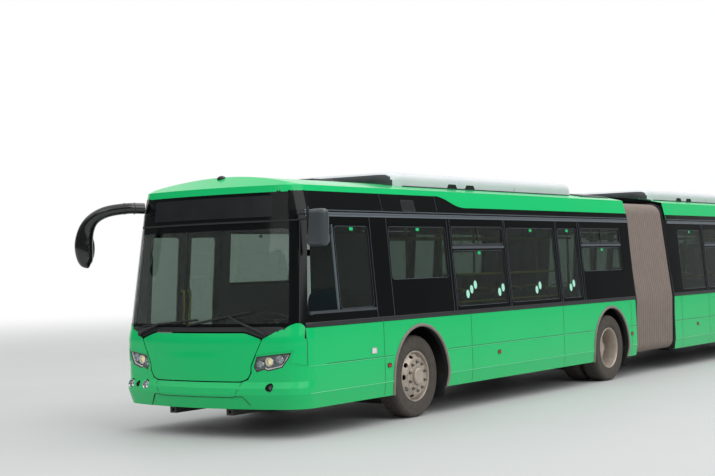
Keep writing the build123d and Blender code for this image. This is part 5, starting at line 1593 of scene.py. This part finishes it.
class CITYBUS_OT_doors(bpy.types.Operator):
    """Framed glass leaves with rubber edges and inside grab rails"""
    bl_idname = "citybus.doors"
    bl_label = "Doors"

    def execute(self, context):
        for name in DOORWAYS:
            for part, way in (("fore", 1), ("aft", -1)):
                self.leaf(f"{name}_{part}_leaf", way)
        return {"FINISHED"}

    def leaf(self, leaf, way):
        """Pane, seals and grab rail of one leaf; way is 1 where its meeting edge lies towards the tail."""
        place = beside(-1)
        head, sill = 2.195, 0.700
        reach = [v.co.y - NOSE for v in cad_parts[leaf].data.vertices]
        start, end = min(reach), max(reach)
        meeting, other = (end, start) if way > 0 else (start, end)

        def leaf_rule(centre, normal):
            s = centre.y - NOSE
            return 1 if sill + 0.001 < centre.z < head - 0.001 and start + 0.0705 < s < end - 0.0705 else 0
        paint_node(leaf, ["black_paint", "tinted_glass"], leaf_rule)
        seals = Form()
        for s, out, section in ((meeting + way * 0.007, -0.026,
                                 rounded(-0.012, 0.012, -0.010, 0.010, 0.008, 3)),
                                (other + way * 0.004, -0.016,
                                 rounded(-0.008, 0.008, -0.004, 0.004, 0.003, 2))):
            seals.sweep([place(s, z, out) for z in (0.378, 1.153, 2.262)], section, Vector((0, 1, 0)))
        pane = [(start + 0.068, sill - 0.002), (end - 0.068, sill - 0.002), (end - 0.068, head + 0.002),
                (start + 0.068, head + 0.002)]
        hole = rounded(start + 0.088, end - 0.088, sill + 0.020, head - 0.022, 0.04)
        seals.sheet([pane, hole], place, -0.0165, -0.0205, 0.2, 1)
        seals.seam([(start + 0.012, 0.540), (end - 0.012, 0.540)], place, 0.005, -0.0052, 0, 0.3)
        seals.make(f"{leaf}_seals", ["rubber", "black_paint"], leaf, "black_plastic", 40)
        rail = Form()
        points = [place(meeting - way * 0.036, z, out) for z, out in (
            (0.80, -0.034), (0.81, -0.070), (0.86, -0.088), (1.49, -0.088), (1.54, -0.070), (1.55, -0.034))]
        rail.tube(smooth_path(points, 5), 0.0125, 0, 12)
        for foot in (points[0], points[-1]):
            rail.turn([(-0.004, 0.024), (0.004, 0.024), (0.008, 0.016)], foot, (1, 0, 0), 0, 20)
        rail.make(f"{leaf}_grab_rail", "yellow_powder", leaf, "handrail")


# ---------------------------------------------------------------- inside

# Benches: section, distance from the nose, x from, x to, floor
BENCHES = (
    [("front", s, 0.300, 1.175, 0.360) for s in (4.050, 4.800, 5.550, 6.300)]
    + [("front", s, -1.175, -0.300, 0.360) for s in (3.500, 4.150)]
    + [("rear", s, 0.300, 1.175, 0.360) for s in (11.500, 12.250, 13.000)]
    + [("rear", s, x0, x1, 1.000) for s in (15.830, 16.600) for x0, x1 in ((0.300, 1.095), (-1.095, -0.300))]
)
# Middle line of a seat's shell from its front lip up the back: back from the row's place, above the floor
SHELL_LINE = ((0.020, 0.392), (0.045, 0.420), (0.120, 0.424), (0.300, 0.408), (0.410, 0.402), (0.462, 0.440),
              (0.490, 0.560), (0.525, 0.800), (0.555, 1.000), (0.575, 1.040))


def shell_section(half):
    """Closed section of the chair's shell, as (towards the nose, up)."""
    line = smooth_path([(a, b, 0) for a, b in SHELL_LINE], 4)
    front, back = [], []
    for i, point in enumerate(line):
        way = heading(line, i).normalized()
        side = Vector((-way.y, way.x, 0)) * half
        front.append((-(point.x + side.x), point.y + side.y))
        back.append((-(point.x - side.x), point.y - side.y))
    return front + list(reversed(back))


class CITYBUS_OT_seats(bpy.types.Operator):
    """Passenger chairs: shells on their stands, crowned moquette cushions and grab handles"""
    bl_idname = "citybus.seats"
    bl_label = "Passenger Chairs"

    def execute(self, context):
        section = shell_section(0.011)
        shells = {"front": Form(), "rear": Form()}
        for number, (part, s, x0, x1, floor) in enumerate(BENCHES):
            shell = shells[part]
            width = (x1 - x0) / 2
            cushions = Form()
            for i in range(2):
                a = x0 + width * i + 0.012
                b = a + width - 0.024
                mid = (a + b) / 2
                shell.sweep([at(x, s, floor) for x in (a, b)], section, Vector((0, 0, 1)))
                cushions.pad((mid, s + 0.225, floor + 0.444), 2.0, (b - a - 0.03, 0.375, 0.062))
                cushions.pad((mid, s + 0.497, floor + 0.720), 80.5, (b - a - 0.04, 0.50, 0.052))
                handle = [at(x, s + back, floor + z) for x, back, z in (
                    (a + 0.05, 0.565, 1.030), (a + 0.06, 0.585, 1.075), (mid, 0.590, 1.088),
                    (b - 0.06, 0.585, 1.075), (b - 0.05, 0.565, 1.030))]
                shell.tube(smooth_path(handle, 5), 0.012, 1, 10)
            for x in (x0 + width * 0.5, x1 - width * 0.5):
                leg = [at(x, s + back, floor + z) for back, z in ((0.30, 0.0), (0.27, 0.20), (0.20, 0.40))]
                shell.tube(smooth_path(leg, 4), 0.022, 2, 10)
                shell.block((x - 0.05, s + 0.24, floor), (x + 0.05, s + 0.37, floor + 0.012), 0.004, 2)
            shell.block((x0 + 0.03, s + 0.16, floor + 0.372), (x1 - 0.03, s + 0.24, floor + 0.402), 0.01, 2)
            piece = cushions.make(f"{part}_cushions_{number + 1}", "moquette", f"{part}_section", "seat", 60)
        for part, shell in shells.items():
            shell.make(f"{part}_seat_shells", ["shell_plastic", "yellow_powder", "gear_paint"],
                       f"{part}_section", "seat", 40, (f"{part}_seats",))
        return {"FINISHED"}


def stop_buttons(form, rows, mark):
    """Red push buttons on black boxes, on the rails on both sides of the aisle."""
    for s in rows:
        for x in (0.27, -0.27):
            form.block((x - 0.026, s - 0.030, 1.30), (x + 0.026, s + 0.030, 1.39), 0.014, mark, 3)
            form.turn([(0.0, 0.016), (0.010, 0.014), (0.012, 0.0)], at(x, s - 0.030, 1.35), (0, -1, 0),
                      mark + 1, 16)


class CITYBUS_OT_interior(bpy.types.Operator):
    """Window rails, ceiling lights, stop buttons, dash and the driver's cushions"""
    bl_idname = "citybus.interior"
    bl_label = "Interior"

    def execute(self, context):
        for section, start, end in (("front", 2.10, 8.50), ("rear", 10.45, 17.30)):
            lights = Form()
            for side in (1, -1):
                lights.block((side * 0.62, start, 2.575), (side * 0.74, end, 2.603), 0.012)
            lights.make(f"{section}_ceiling_lights", "white_lens", f"{section}_section", "lamp")
        rails = Form()
        for z, x in ((1.300, 1.150), (1.640, 1.130)):
            path = [at(x + off, s, z) for off, s in ((0.06, 3.72), (0, 3.78), (0, 4.6), (0, 5.4), (0, 6.22),
                                                     (0.06, 6.28))]
            rails.tube(smooth_path(path, 4), 0.014, 0, 12)
        stop_buttons(rails, (3.45, 4.75, 6.55, 8.50), 1)
        rails.make("window_rails", ["yellow_powder", "black_plastic", "red_lens"], FRONT, "handrail")
        buttons = Form()
        stop_buttons(buttons, (10.45, 11.75, 13.30, 15.60), 0)
        buttons.make("rear_stop_buttons", ["black_plastic", "red_lens"], REAR, "black_plastic")

        # Dash: hooded instrument binnacle and a till beside it
        dash = Form()
        for low, high, screen, half_wide, half_high, corner, sunk in (
                ((0.36, 0.50, 1.100), (0.90, 0.66, 1.165), (0.63, 0.664, 1.136), 0.24, 0.022, 0.008, -0.004),
                ((0.02, 0.60, 1.100), (0.26, 0.80, 1.240), (0.14, 0.804, 1.180), 0.09, 0.045, 0.01, -0.006)):
            dash.block(low, high, 0.03, 0, 4)
            dash.sheet([rounded(-half_wide, half_wide, -half_high, half_high, corner)],
                       flat(at(*screen), (-1, 0, 0), (0, 0, 1)), 0.001, sunk, 0.1, 1)
        dash.make("dash_fittings", ["black_plastic", "sign_film"], FRONT, "cab")
        cushions = Form()
        cushions.pad((0.625, 1.355, 0.930), 2.0, (0.46, 0.42, 0.090))
        cushions.pad((0.625, 1.585, 1.235), 78.0, (0.46, 0.60, 0.085))
        driver = cushions.make("driver_cushions", "moquette", FRONT, "cab", 60)
        return {"FINISHED"}


# ---------------------------------------------------------------- tail


class CITYBUS_OT_tail(bpy.types.Operator):
    """Tail lamps with their bezels, hatch louvres and the rear window's border"""
    bl_idname = "citybus.tail"
    bl_label = "Tail"

    def execute(self, context):
        heights = ((0.700, 0), (0.860, 1), (1.020, 2), (1.180, 0))

        def lamp_rule(centre, normal):
            return min(heights, key=lambda row: abs(row[0] - centre.z))[1]
        paint_node("tail_lamps", ["red_lens", "amber_lens", "white_lens"], lamp_rule)
        for side_name, side in SIDES:
            rings = Form()
            x = side * 1.035
            for z, _ in heights:
                rings.sheet([oval(x, z, r, r, 40) for r in (0.068, 0.058)], on_tail, 0.006, -0.002, 0.05)
                rings.seam(turning(oval(x, z, 0.036, 0.036, 32)), on_tail, 0.004, 0.0012, 1, 0.05, True)
            rings.make(f"tail_lamp_bezels_{side_name}", ["black_plastic", "chrome"], REAR, "lamp")
        slats = Form()
        for i in range(9):
            z = 0.700 + 0.040 * i
            slats.sheet([[(-0.620, z + 0.001), (0.620, z + 0.001), (0.620, z + 0.009), (-0.620, z + 0.009)]],
                        on_tail, -0.004, -0.012, 0.2)
        slats.sheet([rounded(-0.150, 0.150, 1.210, 1.250, 0.012)], on_tail, 0.012, 0.0, 0.05)
        slats.make("hatch_louvres", "black_plastic", "engine_hatch", "black_plastic")
        glass = Form()
        outer = [(-0.900, 1.500), (0.900, 1.500), (0.900, WINDOW_HEAD), (-0.900, WINDOW_HEAD)]
        hole = rounded(-0.830, 0.830, 1.560, WINDOW_HEAD - 0.060, 0.08)
        glass.sheet([outer, hole], on_tail, -0.0045, -0.008, 0.15)
        glass.seam(outer, on_tail, 0.012, 0.0012, 1, 0.1, True)
        glass.make("rear_window_border", ["black_paint", "rubber"], REAR, "door")
        lines = Form()
        lines.seam([(-1.20, 0.480), (1.20, 0.480)], on_tail, 0.006, 0.0015, 0, 0.1)
        for side in (1, -1):
            inner, outer = side * 0.93, side * 1.10
            lines.seam([(inner, 0.490), (inner, 1.420)], on_tail, 0.005, 0.0015, 0, 0.1)
            lines.sheet([rounded(min(inner, outer), max(inner, outer), 0.385, 0.425, 0.01)], on_tail, 0.004,
                        -0.002, 0.05, 1)
        lines.make("tail_seams", ["black_plastic", "red_lens"], REAR, "green_body")
        return {"FINISHED"}


# ---------------------------------------------------------------- stage

# Lights: name, place, side of the square, share of the key light's power
LIGHTS = (("key_light", (24, -9, 17), 22.0, 1.0), ("fill_light", (4, -27, 15), 16.0, 0.22),
          ("top_light", (4, 2, 18), 18.0, 0.50))
# Camera: place, yaw to the bus's right, pitch up, roll, and lens for a sensor 36 mm wide
CAMERA_PLACE = (10.118, -20.353, 1.788)
CAMERA_TURNS = (34.79, 1.11, -1.59)
CAMERA_LENS = 71.38


class CITYBUS_OT_stage(bpy.types.Operator):
    """Pale studio floor, white surround, soft lights and the camera"""
    bl_idname = "citybus.stage"
    bl_label = "Studio and Camera"

    def execute(self, context):
        scene = context.scene
        looks = scene.city_bus_looks
        view = self.camera(scene)
        self.floor(looks, view)
        aim = Vector((0.5, -3.0, 1.0))
        for name, spot, size, share in LIGHTS:
            lamp = bpy.data.lights.new(name, "AREA")
            lamp.shape = "SQUARE"
            lamp.size = size
            lamp.energy = looks.key_power * share
            lamp_object = bpy.data.objects.new(name, lamp)
            turn = (aim - Vector(spot)).to_track_quat("-Z", "Y").to_matrix().to_4x4()
            lamp_object.matrix_world = Matrix.Translation(spot) @ turn
            scene.collection.objects.link(lamp_object)
        scene.world = self.surround(view)
        scene.view_settings.view_transform = "Standard"
        scene.cycles.max_bounces = 12
        scene.cycles.transmission_bounces = 12
        scene.cycles.transparent_max_bounces = 16
        return {"FINISHED"}

    def camera(self, scene):
        """Camera at its place; gives its way of looking."""
        yaw, pitch, roll = (math.radians(v) for v in CAMERA_TURNS)
        view = Vector((-math.sin(yaw) * math.cos(pitch), math.cos(yaw) * math.cos(pitch), math.sin(pitch)))
        level = view.cross(Vector((0, 0, 1))).normalized()
        over = level.cross(view)
        right = level * math.cos(roll) + over * math.sin(roll)
        up = over * math.cos(roll) - level * math.sin(roll)
        lens = bpy.data.cameras.new("photo_camera")
        lens.lens = CAMERA_LENS
        lens.sensor_width = 36.0
        lens.clip_end = 500.0
        camera = bpy.data.objects.new("photo_camera", lens)
        turn = Matrix((right, up, -view)).transposed().to_4x4()
        camera.matrix_world = Matrix.Translation(CAMERA_PLACE) @ turn
        scene.collection.objects.link(camera)
        scene.camera = camera
        return view

    def floor(self, looks, view):
        """Pale sealed concrete with faint clouds, going over to white far from the bus."""
        concrete = finish("sealed_pale_floor", tinted(looks.floor_colour, 1.0),
                          tinted(looks.floor_colour, 0.95),
                          2500, 0.6, 30, 0.2, specular=0.2)
        FINISH["floor"] = concrete
        ground = Form()
        ground.add([(-90, -90, 0), (90, -90, 0), (90, 90, 0), (-90, 90, 0)], [(0, 1, 2, 3)])
        ground.make("studio_floor", "floor", None, None)
        tree = concrete.node_tree
        spot = add(tree, "ShaderNodeTexCoord").outputs["Object"]
        way = add(tree, "ShaderNodeVectorMath", {0: spot}, operation="NORMALIZE")
        reach = add(tree, "ShaderNodeVectorMath", {0: spot}, operation="LENGTH")
        far = add(tree, "ShaderNodeMapRange", {"Value": reach.outputs["Value"]},
                  interpolation_type="SMOOTHSTEP",
                  From_Min=10.0, From_Max=42.0)
        # Rays from the camera or through glass, and reflections of what lies behind the bus
        path = add(tree, "ShaderNodeLightPath").outputs
        shine = add(tree, "ShaderNodeMath",
                    {0: path["Is Glossy Ray"], 1: self.behind(tree, way.outputs[0], view)},
                    operation="MULTIPLY")
        direct = add(tree, "ShaderNodeMath", {0: path["Is Camera Ray"], 1: shine.outputs[0]},
                     operation="MAXIMUM")
        seen = add(tree, "ShaderNodeMath", {0: direct.outputs[0], 1: path["Is Transmission Ray"]},
                   operation="MAXIMUM")
        share = add(tree, "ShaderNodeMath", {0: seen.outputs[0], 1: far.outputs["Result"]},
                    operation="MULTIPLY")
        white = add(tree, "ShaderNodeEmission", Color=(1, 1, 1, 1), Strength=1.0)
        blend = add(tree, "ShaderNodeMixShader",
                    {0: share.outputs[0], 1: tree.nodes["Principled BSDF"].outputs[0],
                                                  2: white.outputs[0]})
        tree.links.new(blend.outputs[0], tree.nodes["Material Output"].inputs["Surface"])

    def surround(self, view):
        """World: white to the camera and through glass; reflections see white behind the bus and overhead."""
        world = bpy.data.worlds.new("white_studio")
        world.use_nodes = True
        tree = world.node_tree
        tree.nodes.clear()
        compass = add(tree, "ShaderNodeTexCoord").outputs["Generated"]
        height = add(tree, "ShaderNodeSeparateXYZ", {"Vector": compass}).outputs["Z"]
        above = add(tree, "ShaderNodeMapRange", {"Value": height}, interpolation_type="SMOOTHSTEP",
                    From_Min=0.16,
                    From_Max=0.80)
        most = add(tree, "ShaderNodeMath", {0: self.behind(tree, compass, view), 1: above.outputs["Result"]},
                   operation="MAXIMUM")
        mirrored_room = add(tree, "ShaderNodeMapRange", {"Value": most.outputs[0]},
                            interpolation_type="SMOOTHSTEP", To_Min=0.10)
        even = add(tree, "ShaderNodeMapRange", {"Value": height}, interpolation_type="SMOOTHSTEP",
                   From_Min=-0.05,
                   From_Max=0.90, To_Min=0.45)
        path = add(tree, "ShaderNodeLightPath").outputs
        level = add(tree, "ShaderNodeMix", {"Factor": path["Is Glossy Ray"], 2: even.outputs["Result"],
                                            3: mirrored_room.outputs["Result"]})
        soft = add(tree, "ShaderNodeBackground", {"Strength": level.outputs[0]}, Color=(1, 1, 1, 1))
        backdrop = add(tree, "ShaderNodeBackground", Color=(1, 1, 1, 1), Strength=1.0)
        direct = add(tree, "ShaderNodeMath", {0: path["Is Camera Ray"], 1: path["Is Transmission Ray"]},
                     operation="MAXIMUM")
        mix = add(tree, "ShaderNodeMixShader",
                  {0: direct.outputs[0], 1: soft.outputs[0], 2: backdrop.outputs[0]})
        add(tree, "ShaderNodeOutputWorld", {"Surface": mix.outputs[0]})
        return world

    def behind(self, tree, way, view):
        """1 for directions that lie behind the bus as the camera sees it, 0 for the rest of the room."""
        along = add(tree, "ShaderNodeVectorMath", {0: way, 1: view}, operation="DOT_PRODUCT")
        return add(tree, "ShaderNodeMapRange", {"Value": along.outputs["Value"]}, From_Min=0.50,
                   From_Max=0.80,
                   interpolation_type="SMOOTHSTEP").outputs["Result"]


# ---------------------------------------------------------------- panel and registration

PIECES = (
    CITYBUS_OT_body, CITYBUS_OT_cove, CITYBUS_OT_arches, CITYBUS_OT_windows, CITYBUS_OT_nose,
    CITYBUS_OT_lamps,
    CITYBUS_OT_wipers, CITYBUS_OT_mirrors, CITYBUS_OT_wheels, CITYBUS_OT_bellows, CITYBUS_OT_roof,
    CITYBUS_OT_doors,
    CITYBUS_OT_seats, CITYBUS_OT_interior, CITYBUS_OT_tail, CITYBUS_OT_stage,
)


class CITYBUS_PT_looks(bpy.types.Panel):
    """City bus: its looks, and each piece in the order of building"""
    bl_idname = "CITYBUS_PT_looks"
    bl_label = "City Bus"
    bl_space_type = "VIEW_3D"
    bl_region_type = "UI"
    bl_category = "City Bus"

    def draw(self, context):
        layout = self.layout
        looks = context.scene.city_bus_looks
        for key in CityBusLooks.__annotations__:
            layout.prop(looks, key)
        column = layout.column(align=True)
        for piece in PIECES:
            column.operator(piece.bl_idname)


CLASSES = (CityBusLooks,) + PIECES + (CITYBUS_PT_looks,)


def register():
    for cls in CLASSES:
        bpy.utils.register_class(cls)
    bpy.types.Scene.city_bus_looks = bpy.props.PointerProperty(type=CityBusLooks)


def unregister():
    del bpy.types.Scene.city_bus_looks
    for cls in reversed(CLASSES):
        bpy.utils.unregister_class(cls)


def main():
    """Every piece in order."""
    register()
    for piece in PIECES:
        group, name = piece.bl_idname.split(".")
        if getattr(getattr(bpy.ops, group), name)() != {"FINISHED"}:
            raise RuntimeError(f"{piece.bl_idname} did not finish")


if __name__ == "__main__":
    main()
